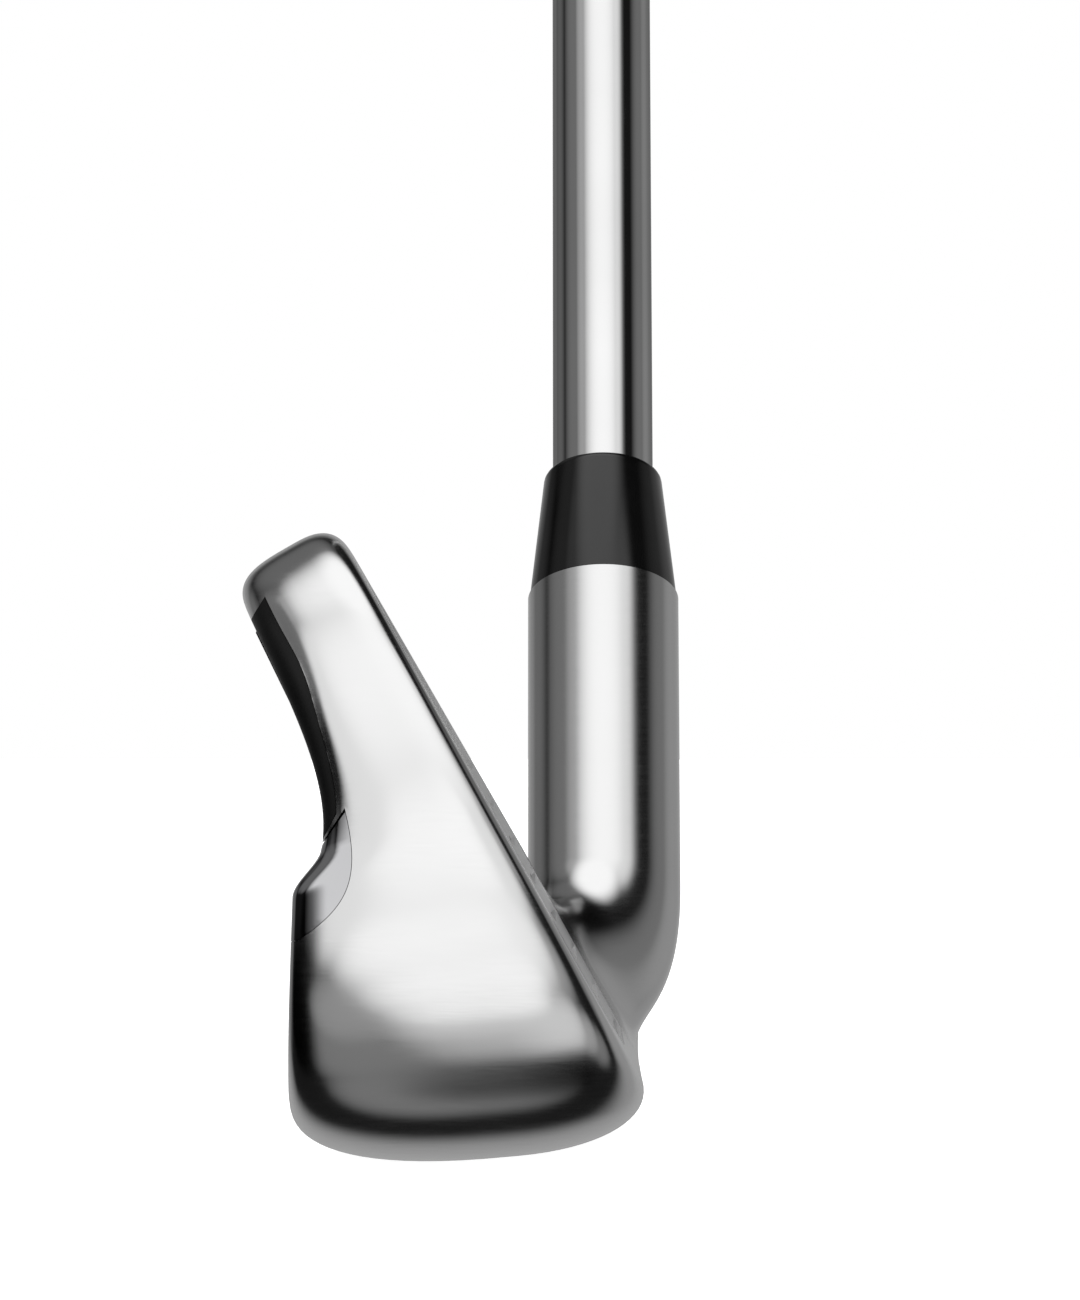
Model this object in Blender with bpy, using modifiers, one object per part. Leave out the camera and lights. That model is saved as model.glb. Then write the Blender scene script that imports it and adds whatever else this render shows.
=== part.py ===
"""Iron golf club: a cast steel head on a stepped steel shaft with a rubber grip.

Modelled as it stands at address: +X towards the target, +Y from toe to heel, +Z up, in metres.
The origin is the centre of the striking face. Points on the head are first worked out from the
ground below the shaft axis, and the empty "club" then moves them to the origin.
"""
from math import cos, exp, log, pi, radians, sin, tan

import bmesh
import bpy
from mathutils import Matrix, Vector
from mathutils.geometry import interpolate_bezier

# Club
CLUB_LENGTH = 0.940
LIE = radians(62.0)
LOFT = radians(28.9)

# Clearances
GAP = 0.0003
SLEEVE_GAP = 0.00006
TAPE_GAP = 0.0002

# Blade outline, in face coordinates: y from toe to heel, v up the face from its lower edge
FACE_GROUND_X = 0.0064
FACE_EDGE_Z = 0.0074
HEEL_Y = -0.008
TOPLINE_END_Y = -0.054
TOPLINE_END_V = 0.0467
TOPLINE_SLOPE = 0.60
TOPLINE_EASE = 0.003
TOE_Y = -0.0705
TOE_WIDEST_V = 0.019
TOE_TOP_PULL = 0.010
TOE_UPPER_PULL = 0.021
TOE_LOWER_PULL = 0.0125
TOE_SOLE_PULL = 0.012
SOLE_END_Y = -0.050

# Back of the blade: depths behind the face and the step above the muscle, as shares of the height
TOPLINE_DEPTH = 0.0097
CAVITY_DEPTH = 0.0140
CAVITY_FADE = 0.14
STEP_LOW = 0.475
STEP_HIGH = 0.552
SOLE_TILT = radians(4.0)
MUSCLE_TOE_X = -0.0264
MUSCLE_HEEL_X = -0.0185
MUSCLE_LEAN = 0.028
MUSCLE_TAPER = 1.5

# Edge wall: bulge, place of its crown, fullness at the front and at the back
TOPLINE_WALL = (0.0038, 0.42, 3.0, 3.5)
TOE_WALL = (0.0026, 0.45, 5.0, 2.6)
SOLE_WALL = (0.0068, 0.41, 2.2, 2.65)

# Hosel and neck
HOSEL_OD = 0.0136
HOSEL_START = 0.0235
HOSEL_LENGTH = 0.0292
BORE_DEPTH = 0.0314
TOPLINE_SIDE = radians(155.0)
TOPLINE_SPREAD = radians(20.0)
SOLE_SIDE = radians(270.0)
SOLE_SPREAD = radians(30.0)
NECK_PULL_TOP = (0.9, 1.4)
NECK_PULL_SIDE = (0.6, 2.2)
NECK_PULL_SOLE = (1.0, 1.5)

# Striking plate and its score lines
PLATE_RIM = 0.0022
PLATE_THICKNESS = 0.0024
PLATE_HEEL_Y = -0.0150
GROOVE_COUNT = 11
GROOVE_PITCH = 0.0036
GROOVE_WIDTH = 0.0009
GROOVE_DEPTH = 0.0004
GROOVE_FIRST_V = 0.0035
GROOVE_TOE_Y = -0.0570
GROOVE_HEEL_Y = -0.0180
GROOVE_EDGE = 0.0045
FACE_CENTRE_Y = -0.0360
FACE_CENTRE_LAND = 4

# Hollows behind the plate, with the damper and the weight
WINDOW_TOE_Y = -0.0560
WINDOW_HEEL_Y = -0.0260
WINDOW_LOW = 0.70
WINDOW_HIGH = 0.88
UNDERCUT_TOE_Y = -0.0500
UNDERCUT_HEEL_Y = -0.0185
UNDERCUT_LOW = 0.08
UNDERCUT_HIGH = 0.60
UNDERCUT_SINK = (0.0034, 0.0076)
UNDERCUT_BEND = (0.33, 0.47)
DAMPER_MARGIN = 0.0018
DAMPER_THICKNESS = 0.0034
WEIGHT_DIAMETER = 0.0080
WEIGHT_LENGTH = 0.0100
WEIGHT_Y = -0.0560
WEIGHT_V = 0.0095

# Badge on the upper back and trim bar on the muscle
BADGE_HEEL_Y = -0.0150
BADGE_OUTER_LOW = 0.548
BADGE_LEAN = 0.067
BADGE_HIGH = 1.035
BADGE_THIN = 0.00115
BADGE_GROWTH = 0.00175
BADGE_TAPE = 0.0005
TAPE_LOW = 0.645
TAPE_HIGH = 0.950
TAPE_TOE_Y = -0.0610
TAPE_HEEL_Y = -0.0200
PLAQUE_LOW = 0.800
PLAQUE_HIGH = 1.010
PLAQUE_TOE_Y = -0.0590
PLAQUE_HEEL_Y = -0.0230
PLAQUE_SINK = 0.0004
PLAQUE_PROUD = 0.0003
TRIM_LOW = 0.385
TRIM_EDGE = 0.0007
TRIM_TOP_THICKNESS = 0.0019
TRIM_HEEL_Y = -0.0130
LEAF_TOP_LEAN = radians(14.0)
LEAF_TOP_PULL = 0.54
LEAF_LOW_LEAN = radians(35.0)
LEAF_LOW_PULL = 0.42
PARTING_EDGE = 0.0005
PAST_EASE = 0.5
CHANNEL_RUN = 4.0
PAST_EDGE = 0.004

# Ferrule
FERRULE_LENGTH = 0.0125
FERRULE_LOW_OD = 0.0133
FERRULE_TOP_OD = 0.0106
FERRULE_ROUND = 0.0005

# Shaft
SHAFT_TIP_OD = 0.0091
SHAFT_BUTT_OD = 0.0152
SHAFT_TIP_WALL = 0.0008
SHAFT_BUTT_WALL = 0.0004
SHAFT_STEPS = 12
SHAFT_FIRST_STEP = 0.260
SHAFT_STEP_PITCH = 0.031
SHAFT_STEP_TAPER = 0.0016
EPOXY_WALL = 0.0003
TIP_WEIGHT_LENGTH = 0.024
TIP_WEIGHT_FLANGE = 0.0010

# Grip
GRIP_LENGTH = 0.267
GRIP_WALL_MOUTH = 0.0016
GRIP_BUTT_OD = 0.0268
GRIP_BELLY = 1.35
TREAD_PANELS = 5
TREAD_BAND = 0.009
TREAD_SINK = 0.00015
TREAD_SLOPE = 0.002
GRIP_TAPE_WALL = 0.0003
GRIP_TAPE_SHORT = 0.006
CAP_THICKNESS = 0.0042
CAP_ROUND = 0.0016
VENT_DIAMETER = 0.0024

# Mesh density
COLUMNS = 24
ROWS = 22
ROW_CROWD = 0.6
BAND = 8
NECK_RINGS = 12
EDGE_POINTS = 120
UPPER_CORNER = 0.55
LOWER_CORNER = 0.50
SLAB_ROWS = 14
SLAB_COLUMNS = 14
HOSEL_SEGMENTS = 2 * (ROWS + BAND)
TURN_SEGMENTS = 32
SLOPE_STEP = 0.001
WELD_DISTANCE = 0.000001
TURN_WELD = 0.00001
OUTLINE_STEP = 0.0001
SHARP_ANGLE = radians(30.0)

AXIS = Vector((0.0, cos(LIE), sin(LIE)))
ALONG = Vector((0.0, 1.0, 0.0))
UP_FACE = Vector((-sin(LOFT), 0.0, cos(LOFT)))
OUT_FACE = Vector((cos(LOFT), 0.0, sin(LOFT)))
HOSEL_TOP = HOSEL_START + HOSEL_LENGTH
HOSEL_RADIUS = HOSEL_OD / 2
SHAFT_TIP_RADIUS = SHAFT_TIP_OD / 2
SHAFT_BUTT_RADIUS = SHAFT_BUTT_OD / 2
SHAFT_BORE_RADIUS = SHAFT_TIP_RADIUS - SHAFT_TIP_WALL
SHAFT_BUTT_BORE_RADIUS = SHAFT_BUTT_RADIUS - SHAFT_BUTT_WALL
EPOXY_INNER = SHAFT_TIP_RADIUS + SLEEVE_GAP
EPOXY_OUTER = EPOXY_INNER + EPOXY_WALL
BORE_RADIUS = EPOXY_OUTER + SLEEVE_GAP
BORE_FLOOR = HOSEL_TOP - BORE_DEPTH
TIP_STATION = BORE_FLOOR + 2 * GAP + TIP_WEIGHT_FLANGE
SHAFT_END = CLUB_LENGTH - CAP_THICKNESS - GAP
GRIP_MOUTH = CLUB_LENGTH - CAP_THICKNESS - GRIP_LENGTH
BADGE_INNER_LOW = BADGE_OUTER_LOW + BADGE_LEAN
FACE_CENTRE_V = GROOVE_FIRST_V + (FACE_CENTRE_LAND + 0.5) * GROOVE_PITCH


def mix(a, b, share):
    return a + (b - a) * share


def smooth_share(low, high, value):
    share = min(max((value - low) / (high - low), 0.0), 1.0)
    return share * share * (3.0 - 2.0 * share)


# Head form

def face_point(y, v):
    z = FACE_EDGE_Z + v * cos(LOFT)
    return Vector((FACE_GROUND_X - z * tan(LOFT), y, z))


def topline_v(y):
    """Height of the topline up the face. It eases level past its toe end."""
    run = TOPLINE_EASE * log(1.0 + exp((y - TOPLINE_END_Y) / TOPLINE_EASE))
    return TOPLINE_END_V - run * TOPLINE_SLOPE


def muscle_x(y):
    share = min(max((y - SOLE_END_Y) / (HEEL_Y - SOLE_END_Y), 0.0), 1.0)
    return mix(MUSCLE_TOE_X, MUSCLE_HEEL_X, share ** MUSCLE_TAPER)


def back_point(y, height, sink=0.0):
    """Point on the back at a share of the topline's height, sunk below the outer surface."""
    v = height * topline_v(y)
    tilt = mix(SOLE_TILT, LOFT, height)
    start = face_point(y, v)
    muscle = (start.x - muscle_x(y) - MUSCLE_LEAN * v) / cos(tilt)
    fade = exp(-(max(height, STEP_LOW) - STEP_HIGH) / CAVITY_FADE)
    cavity = mix(TOPLINE_DEPTH, CAVITY_DEPTH, fade)
    depth = mix(muscle, cavity, smooth_share(STEP_LOW, STEP_HIGH, height)) - sink
    return start - depth * Vector((cos(tilt), 0.0, sin(tilt)))


def edge_runs():
    """Front edge of the blade as three runs of (y, v, normal y, normal v): topline, toe, sole."""
    heel_top = Vector((HEEL_Y, topline_v(HEEL_Y)))
    top_end = Vector((TOPLINE_END_Y, TOPLINE_END_V))
    widest = Vector((TOE_Y, TOE_WIDEST_V))
    sole_end = Vector((SOLE_END_Y, 0.0))
    heel_low = Vector((HEEL_Y, 0.0))
    run_up = (top_end - heel_top).normalized()
    up = Vector((0.0, 1.0))
    toeward = Vector((-1.0, 0.0))
    topline = [heel_top.lerp(top_end, i / EDGE_POINTS) for i in range(EDGE_POINTS)]
    upper = interpolate_bezier(top_end, top_end + run_up * TOE_TOP_PULL,
                               widest + up * TOE_UPPER_PULL, widest, EDGE_POINTS)
    lower = interpolate_bezier(widest, widest - up * TOE_LOWER_PULL,
                               sole_end + toeward * TOE_SOLE_PULL, sole_end, EDGE_POINTS)
    sole = [sole_end.lerp(heel_low, i / EDGE_POINTS) for i in range(1, EDGE_POINTS + 1)]
    line = topline + upper + lower[1:] + sole
    edge = []
    for i, point in enumerate(line):
        run = line[min(i + 1, len(line) - 1)] - line[max(i - 1, 0)]
        run.normalize()
        edge.append(Vector((point.x, point.y, run.y, -run.x)))
    upper_corner = EDGE_POINTS + round(UPPER_CORNER * EDGE_POINTS)
    lower_corner = 2 * EDGE_POINTS + round(LOWER_CORNER * EDGE_POINTS)
    return (resample(edge[:upper_corner + 1], COLUMNS),
            resample(edge[upper_corner:lower_corner + 1], ROWS, ROW_CROWD),
            resample(edge[lower_corner:], COLUMNS))


def crowded(share, crowd):
    """Share of a run, moved towards its middle so that steps there are shorter."""
    return share + crowd * sin(2.0 * pi * share) / (2.0 * pi)


def resample(line, count, crowd=0.0):
    """Steps along a line, measured on its first two coordinates."""
    stations = [0.0]
    for a, b in zip(line, line[1:]):
        stations.append(stations[-1] + (b.xy - a.xy).length)
    points = []
    i = 0
    for k in range(count + 1):
        target = stations[-1] * crowded(k / count, crowd)
        while i < len(line) - 2 and stations[i + 1] < target:
            i += 1
        share = (target - stations[i]) / (stations[i + 1] - stations[i])
        points.append(line[i].lerp(line[i + 1], share))
    return points


def wall_line(edge_point):
    """Curve across the edge wall, from the face to the back."""
    y, v, normal_y, normal_v = edge_point
    weights = (max(normal_v, 0.0) ** 2, normal_y ** 2, max(-normal_v, 0.0) ** 2)
    shapes = zip(TOPLINE_WALL, TOE_WALL, SOLE_WALL)
    bulge, crown, front, back = [sum(w * s for w, s in zip(weights, shape)) / sum(weights)
                                 for shape in shapes]
    height = v / topline_v(y)
    start = face_point(y, v)
    end = back_point(y, height)
    up_back = back_point(y, height + SLOPE_STEP) - back_point(y, height - SLOPE_STEP)
    up_back.normalize()
    out_start = ALONG * normal_y + UP_FACE * normal_v
    out_end = ALONG * normal_y + up_back * normal_v
    points = [start]
    for k in range(1, BAND):
        place = 2.0 * k / BAND - 1.0
        turn = (1.0 - abs(place)) * pi / 2
        power = 2.0 / (front if place < 0 else back)
        reach = cos(turn) ** power
        share = crown - reach * crown if place < 0 else crown + reach * (1.0 - crown)
        out = out_start.lerp(out_end, share).normalized()
        points.append(start.lerp(end, share) + out * (bulge * sin(turn) ** power))
    return points + [end]


def blade_patches(topline, toe, sole):
    """Face and back grids, row 0 along the topline and column 0 at the toe."""
    top = [p.xy for p in reversed(topline)]
    side = [p.xy for p in toe]
    low = [p.xy for p in sole]
    shares = [crowded(i / ROWS, ROW_CROWD) for i in range(ROWS + 1)]
    heel = [top[-1].lerp(low[-1], down) for down in shares]
    face, back = [], []
    for i, down in enumerate(shares):
        face_row, back_row = [], []
        for j in range(COLUMNS + 1):
            across = j / COLUMNS
            corners = top[0].lerp(low[0], down).lerp(top[-1].lerp(low[-1], down), across)
            y, v = top[j].lerp(low[j], down) + side[i].lerp(heel[i], across) - corners
            face_row.append(face_point(y, v))
            back_row.append(back_point(y, v / topline_v(y)))
        face.append(face_row)
        back.append(back_row)
    return face, back


def hosel_angle(place):
    """Angle round the hosel, from the front, where a place on the heel's ring arrives."""
    ends = (0, ROWS, ROWS + BAND, 2 * ROWS + BAND, 2 * ROWS + 2 * BAND)
    angles = (SOLE_SIDE + SOLE_SPREAD - 2.0 * pi, TOPLINE_SIDE - TOPLINE_SPREAD,
              TOPLINE_SIDE + TOPLINE_SPREAD, SOLE_SIDE - SOLE_SPREAD, SOLE_SIDE + SOLE_SPREAD)
    run = next(i for i in range(len(ends) - 1) if place <= ends[i + 1])
    share = (place - ends[run]) / (ends[run + 1] - ends[run])
    return mix(angles[run], angles[run + 1], share)


def neck_rings(heel_ring, ring_before):
    """Rings from the heel of the blade round to the top of the hosel."""
    toeward = Vector((0.0, -sin(LIE), cos(LIE)))
    front = Vector((1.0, 0.0, 0.0))
    rings = [[] for _ in range(NECK_RINGS)]
    hosel_top = []
    for j, (start, before) in enumerate(zip(heel_ring, ring_before)):
        angle = hosel_angle(j)
        around = front * cos(angle) + toeward * sin(angle)
        end = AXIS * HOSEL_START + around * HOSEL_RADIUS
        weights = (max(sin(angle), 0.0) ** 2, cos(angle) ** 2, max(-sin(angle), 0.0) ** 2)
        pulls = [sum(w * p for w, p in zip(weights, pull))
                 for pull in zip(NECK_PULL_TOP, NECK_PULL_SIDE, NECK_PULL_SOLE)]
        reach = (end - start).length / 3.0
        leave = start + (start - before).normalized() * reach * pulls[0]
        arrive = end - AXIS * reach * pulls[1]
        path = interpolate_bezier(start, leave, arrive, end, NECK_RINGS + 1)
        for ring, point in zip(rings, path[1:]):
            ring.append(point)
        hosel_top.append(end + AXIS * HOSEL_LENGTH)
    return rings + [hosel_top]


def head_form_mesh():
    """Closed outer form of the whole head, before it is divided into pieces."""
    runs = edge_runs()
    face, back = blade_patches(*runs)
    walls = [[wall_line(p) for p in run] for run in runs]

    def heel_ring(column):
        face_up = [row[column] for row in reversed(face)]
        back_down = [row[column] for row in back]
        over_top = walls[0][COLUMNS - column]
        under_sole = list(reversed(walls[2][column]))
        return face_up[:-1] + over_top[:-1] + back_down[:-1] + under_sole[:-1]

    last_ring = heel_ring(COLUMNS)
    neck = [last_ring] + neck_rings(last_ring, heel_ring(COLUMNS - 1))
    neck = [ring + ring[:1] for ring in neck]
    return grid_mesh("head_form", [face, back] + walls + [neck], cap=neck[-1][:-1])


# Mesh and object helpers

def grid_mesh(name, grids, cap=None):
    """One closed mesh from grids of points that share their borders."""
    shape = bmesh.new()
    for grid in grids:
        rows = [[shape.verts.new(point) for point in row] for row in grid]
        for upper, lower in zip(rows, rows[1:]):
            for j in range(len(upper) - 1):
                shape.faces.new((upper[j], upper[j + 1], lower[j + 1], lower[j]))
    if cap:
        shape.faces.new([shape.verts.new(point) for point in cap])
    bmesh.ops.remove_doubles(shape, verts=shape.verts, dist=WELD_DISTANCE)
    bmesh.ops.recalc_face_normals(shape, faces=shape.faces)
    mesh = bpy.data.meshes.new(name)
    shape.to_mesh(mesh)
    shape.free()
    return mesh


def material(name, colour, metallic, roughness):
    made = bpy.data.materials.new(name)
    made.use_nodes = True
    shader = made.node_tree.nodes["Principled BSDF"]
    shader.inputs["Base Color"].default_value = (*colour, 1.0)
    shader.inputs["Metallic"].default_value = metallic
    shader.inputs["Roughness"].default_value = roughness
    return made


def add_part(name, mesh, parent, finish):
    part = bpy.data.objects.new(name, mesh)
    parts.objects.link(part)
    part.parent = parent
    mesh.materials.clear()
    mesh.materials.append(finish)
    mesh.shade_smooth()
    mesh.set_sharp_from_angle(angle=SHARP_ANGLE)
    return part


def add_cutter(name, mesh, parent):
    cutter = bpy.data.objects.new(name, mesh)
    cutters.objects.link(cutter)
    cutter.parent = parent
    cutter.hide_render = True
    cutter.display_type = "WIRE"
    return cutter


def boolean(part, cutter, operation="DIFFERENCE"):
    cut = part.modifiers.new(cutter.name, "BOOLEAN")
    cut.operation = operation
    cut.object = cutter
    return cut


def slab_mesh(name, span, inner, outer, grow=(0.0, 0.0, 0.0, 0.0)):
    """Slab that follows the blade, between two surfaces over a span of y.

    Each surface is a low and a high share of the height and a function of y and height for its points.
    A slab that grows moves only its outermost rows and columns: low, high, toe, heel.
    """
    low_grow, high_grow, toe_grow, heel_grow = grow

    def steps(start, end, count, start_grow, end_grow):
        values = [mix(start, end, i / count) for i in range(count + 1)]
        values[0] -= start_grow
        values[-1] += end_grow
        return values

    columns = steps(*span, SLAB_COLUMNS, toe_grow, heel_grow)

    def surface(low, high, place):
        heights = steps(low, high, SLAB_ROWS, low_grow / TOPLINE_END_V, high_grow / TOPLINE_END_V)
        return [[place(y, height) for y in columns] for height in heights]

    inside = surface(*inner)
    outside = surface(*outer)
    sides = [[inside[0], outside[0]], [inside[-1], outside[-1]]]
    for end in (0, -1):
        sides.append([[row[end] for row in inside], [row[end] for row in outside]])
    return grid_mesh(name, [inside, outside] + sides)


def plate_mesh(name, outline, front, back):
    """Flat plate on the face's own axes, between two distances in front of the face."""
    shape = bmesh.new()
    face = shape.faces.new([shape.verts.new((y, v, back)) for y, v in outline])
    pulled = bmesh.ops.extrude_face_region(shape, geom=[face])
    top = [item for item in pulled["geom"] if isinstance(item, bmesh.types.BMVert)]
    bmesh.ops.translate(shape, verts=top, vec=(0.0, 0.0, front - back))
    bmesh.ops.recalc_face_normals(shape, faces=shape.faces)
    mesh = bpy.data.meshes.new(name)
    shape.to_mesh(mesh)
    shape.free()
    return mesh


def turned(name, profile):
    """Mesh with a profile of (radius, station) to be turned about the shaft axis."""
    mesh = bpy.data.meshes.new(name)
    closed = profile[0][0] > 0.0
    count = len(profile)
    edges = [(i, (i + 1) % count) for i in range(count if closed else count - 1)]
    mesh.from_pydata([(radius, 0.0, station) for radius, station in profile], edges, [])
    return mesh


def turn(part, segments=TURN_SEGMENTS):
    screw = part.modifiers.new("turn", "SCREW")
    screw.axis = "Z"
    screw.angle = 2.0 * pi
    screw.steps = segments
    screw.render_steps = segments
    screw.use_merge_vertices = True
    screw.merge_threshold = TURN_WELD
    return screw


def add_turned(name, profile, finish, segments=TURN_SEGMENTS):
    part = add_part(name, turned(name, profile), shaft_frame, finish)
    turn(part, segments)
    return part


def add_turned_cutter(name, profile, segments=TURN_SEGMENTS):
    cutter = add_cutter(name, turned(name, profile), shaft_frame)
    turn(cutter, segments)
    return cutter


def tube_profile(inner, outer, low, high):
    return [(outer, high), (outer, low), (inner, low), (inner, high)]


def rod_profile(radius, low, high):
    return [(0.0, high), (radius, high), (radius, low), (0.0, low)]


# Head pieces

def inset_outline(inset, heel_y):
    """Outline of the face set in from its edge and squared off towards the heel."""
    inner = [p.xy - inset * Vector((p.z, p.w)) for run in edge_runs() for p in run]
    kept = [p for p in inner if p.x < heel_y]
    top_v = topline_v(heel_y) - inset * (1.0 + TOPLINE_SLOPE ** 2) ** 0.5
    outline = [Vector((heel_y, top_v))]
    for point in kept + [Vector((heel_y, inset))]:
        if (point - outline[-1]).length > OUTLINE_STEP:
            outline.append(point)
    return outline


def window_outline(margin):
    """Four corners of the hollow behind the plate, set in by a margin."""
    corners = []
    for y, side in ((WINDOW_TOE_Y, 1.0), (WINDOW_HEEL_Y, -1.0)):
        inside_y = y + side * margin
        low = Vector((inside_y, WINDOW_LOW * topline_v(inside_y) + margin))
        high = Vector((inside_y, WINDOW_HIGH * topline_v(inside_y) - margin))
        corners += [low, high] if side > 0 else [high, low]
    return corners


def badge_sink(height):
    return BADGE_THIN + BADGE_GROWTH * (height - BADGE_INNER_LOW)


def leaf_point(y, share, clearance):
    """Point on the inner side of the trim bar, an arc from its low edge up to the badge."""
    low = back_point(y, TRIM_LOW, TRIM_EDGE)
    high = back_point(y, BADGE_INNER_LOW, TRIM_TOP_THICKNESS)
    span = (high - low).length
    low_pull = Vector((cos(LEAF_LOW_LEAN), 0.0, sin(LEAF_LOW_LEAN))) * span * LEAF_LOW_PULL
    high_pull = Vector((sin(LEAF_TOP_LEAN), 0.0, -cos(LEAF_TOP_LEAN))) * span * LEAF_TOP_PULL
    first = low.lerp(low + low_pull, share)
    middle = (low + low_pull).lerp(high + high_pull, share)
    last = (high + high_pull).lerp(high, share)
    before, after = first.lerp(middle, share), middle.lerp(last, share)
    inward = ALONG.cross(after - before).normalized()
    return before.lerp(after, share) + inward * clearance


def sunk(depth):
    """Points below the back of the blade, by a depth that is a function of the height."""
    return lambda y, height: back_point(y, height, depth(height))


def past_back(start, end):
    """Points outside the back, close to it at the parting's height and further out at the other end."""
    def place(y, height):
        share = max((height - start) / (end - start), 0.0) ** PAST_EASE
        return back_point(y, height, -mix(PARTING_EDGE, PAST_EDGE, share))
    return place


def badge_slab(name, clearance, drop):
    """Slab of the badge, or of its recess with a clearance round it and a drop below it."""
    return slab_mesh(
        name, (TOE_Y - PAST_EDGE, BADGE_HEEL_Y),
        (BADGE_INNER_LOW, BADGE_HIGH, sunk(lambda h: badge_sink(h) + drop)),
        (BADGE_OUTER_LOW, BADGE_HIGH, past_back(BADGE_OUTER_LOW, BADGE_HIGH)),
        (clearance, clearance, 0.0, clearance))


def trim_slab(name, clearance):
    """Slab of the trim bar, or of its channel, which opens into the badge's recess."""
    ledge = 2.0 * GAP / TOPLINE_END_V
    inner_high, outer_high = BADGE_INNER_LOW - ledge, BADGE_OUTER_LOW - ledge

    def leaf(y, height):
        return leaf_point(y, (height - TRIM_LOW) / (BADGE_INNER_LOW - TRIM_LOW), clearance)

    return slab_mesh(name, (TOE_Y - PAST_EDGE, TRIM_HEEL_Y), (TRIM_LOW, inner_high, leaf),
                     (TRIM_LOW, outer_high, past_back(outer_high, TRIM_LOW)),
                     (clearance, CHANNEL_RUN * clearance, 0.0, clearance))


def plaque_slab(name, clearance, sink, proud):
    """Slab of the flat plaque, or of its seat: its outer side is straight across the hollow back."""
    heights = (PLAQUE_LOW, PLAQUE_HIGH)

    def chord(y, height):
        share = (height - PLAQUE_LOW) / (PLAQUE_HIGH - PLAQUE_LOW)
        return back_point(y, PLAQUE_LOW, -proud).lerp(back_point(y, PLAQUE_HIGH, -proud), share)

    return slab_mesh(name, (PLAQUE_TOE_Y, PLAQUE_HEEL_Y), (*heights, sunk(lambda h: sink)),
                     (*heights, chord), (clearance,) * 4)


def undercut_slab(name):
    """Hollow in the muscle, from inside the plate's pocket to a wall in front of the trim's channel."""
    heights = (UNDERCUT_LOW, UNDERCUT_HIGH)

    def in_pocket(y, height):
        return face_point(y, height * topline_v(y)) - OUT_FACE * PLATE_THICKNESS / 2

    return slab_mesh(name, (UNDERCUT_TOE_Y, UNDERCUT_HEEL_Y), (*heights, in_pocket),
                     (*heights, sunk(lambda h: mix(*UNDERCUT_SINK, smooth_share(*UNDERCUT_BEND, h)))))


def make_head(form):
    cast_steel = material("satin_chrome", (0.62, 0.63, 0.63), 1.0, 0.28)
    body = add_part("head_body", form, club, cast_steel)
    bore = add_turned_cutter(
        "bore_cut", rod_profile(BORE_RADIUS, BORE_FLOOR, HOSEL_TOP + PAST_EDGE), HOSEL_SEGMENTS)
    recess = add_cutter("badge_cut", badge_slab("badge_cut", GAP, BADGE_TAPE + 2 * TAPE_GAP), club)
    channel = add_cutter("trim_cut", trim_slab("trim_cut", GAP), club)
    pocket_floor = -PLATE_THICKNESS - GAP
    pocket = add_cutter(
        "plate_cut", plate_mesh("plate_cut", inset_outline(PLATE_RIM - GAP, PLATE_HEEL_Y + GAP),
                                PAST_EDGE, pocket_floor), face_frame)
    window = add_cutter(
        "window_cut", plate_mesh("window_cut", window_outline(0.0), pocket_floor + GAP,
                                 -CAVITY_DEPTH - PAST_EDGE), face_frame)
    hole = rod_mesh("weight_cut", WEIGHT_DIAMETER / 2 + GAP,
                    pocket_floor + GAP, pocket_floor - WEIGHT_LENGTH - GAP)
    weight_hole = add_cutter("weight_cut", hole, face_frame)
    undercut = add_cutter("undercut_cut", undercut_slab("undercut_cut"), club)
    for cutter in (bore, recess, channel, pocket, window, weight_hole, undercut):
        boolean(body, cutter)
    return window


def rod_mesh(name, radius, front, back):
    """Round slug square to the face, at the weight's place."""
    shape = bmesh.new()
    bmesh.ops.create_cone(shape, cap_ends=True, segments=TURN_SEGMENTS, radius1=radius,
                          radius2=radius, depth=front - back)
    bmesh.ops.translate(shape, verts=shape.verts, vec=(WEIGHT_Y, WEIGHT_V, (front + back) / 2))
    mesh = bpy.data.meshes.new(name)
    shape.to_mesh(mesh)
    shape.free()
    return mesh


def make_striking_plate():
    steel = material("plate_steel", (0.52, 0.53, 0.53), 1.0, 0.40)
    outline = inset_outline(PLATE_RIM, PLATE_HEEL_Y)
    plate = add_part("face_plate", plate_mesh("face_plate", outline, 0.0, -PLATE_THICKNESS),
                     face_frame, steel)
    shape = bmesh.new()
    for k in range(GROOVE_COUNT):
        v = GROOVE_FIRST_V + k * GROOVE_PITCH
        below_top = TOPLINE_END_Y + (TOPLINE_END_V - GROOVE_EDGE - v) / TOPLINE_SLOPE
        heel = min(GROOVE_HEEL_Y, below_top)
        size = Vector((heel - GROOVE_TOE_Y, GROOVE_WIDTH, 2.0 * GROOVE_DEPTH))
        middle = Vector(((heel + GROOVE_TOE_Y) / 2, v, 0.0))
        place = Matrix.Translation(middle) @ Matrix.Diagonal((*size, 1.0))
        bmesh.ops.create_cube(shape, size=1.0, matrix=place)
    mesh = bpy.data.meshes.new("score_lines")
    shape.to_mesh(mesh)
    shape.free()
    boolean(plate, add_cutter("score_lines", mesh, face_frame))


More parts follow.
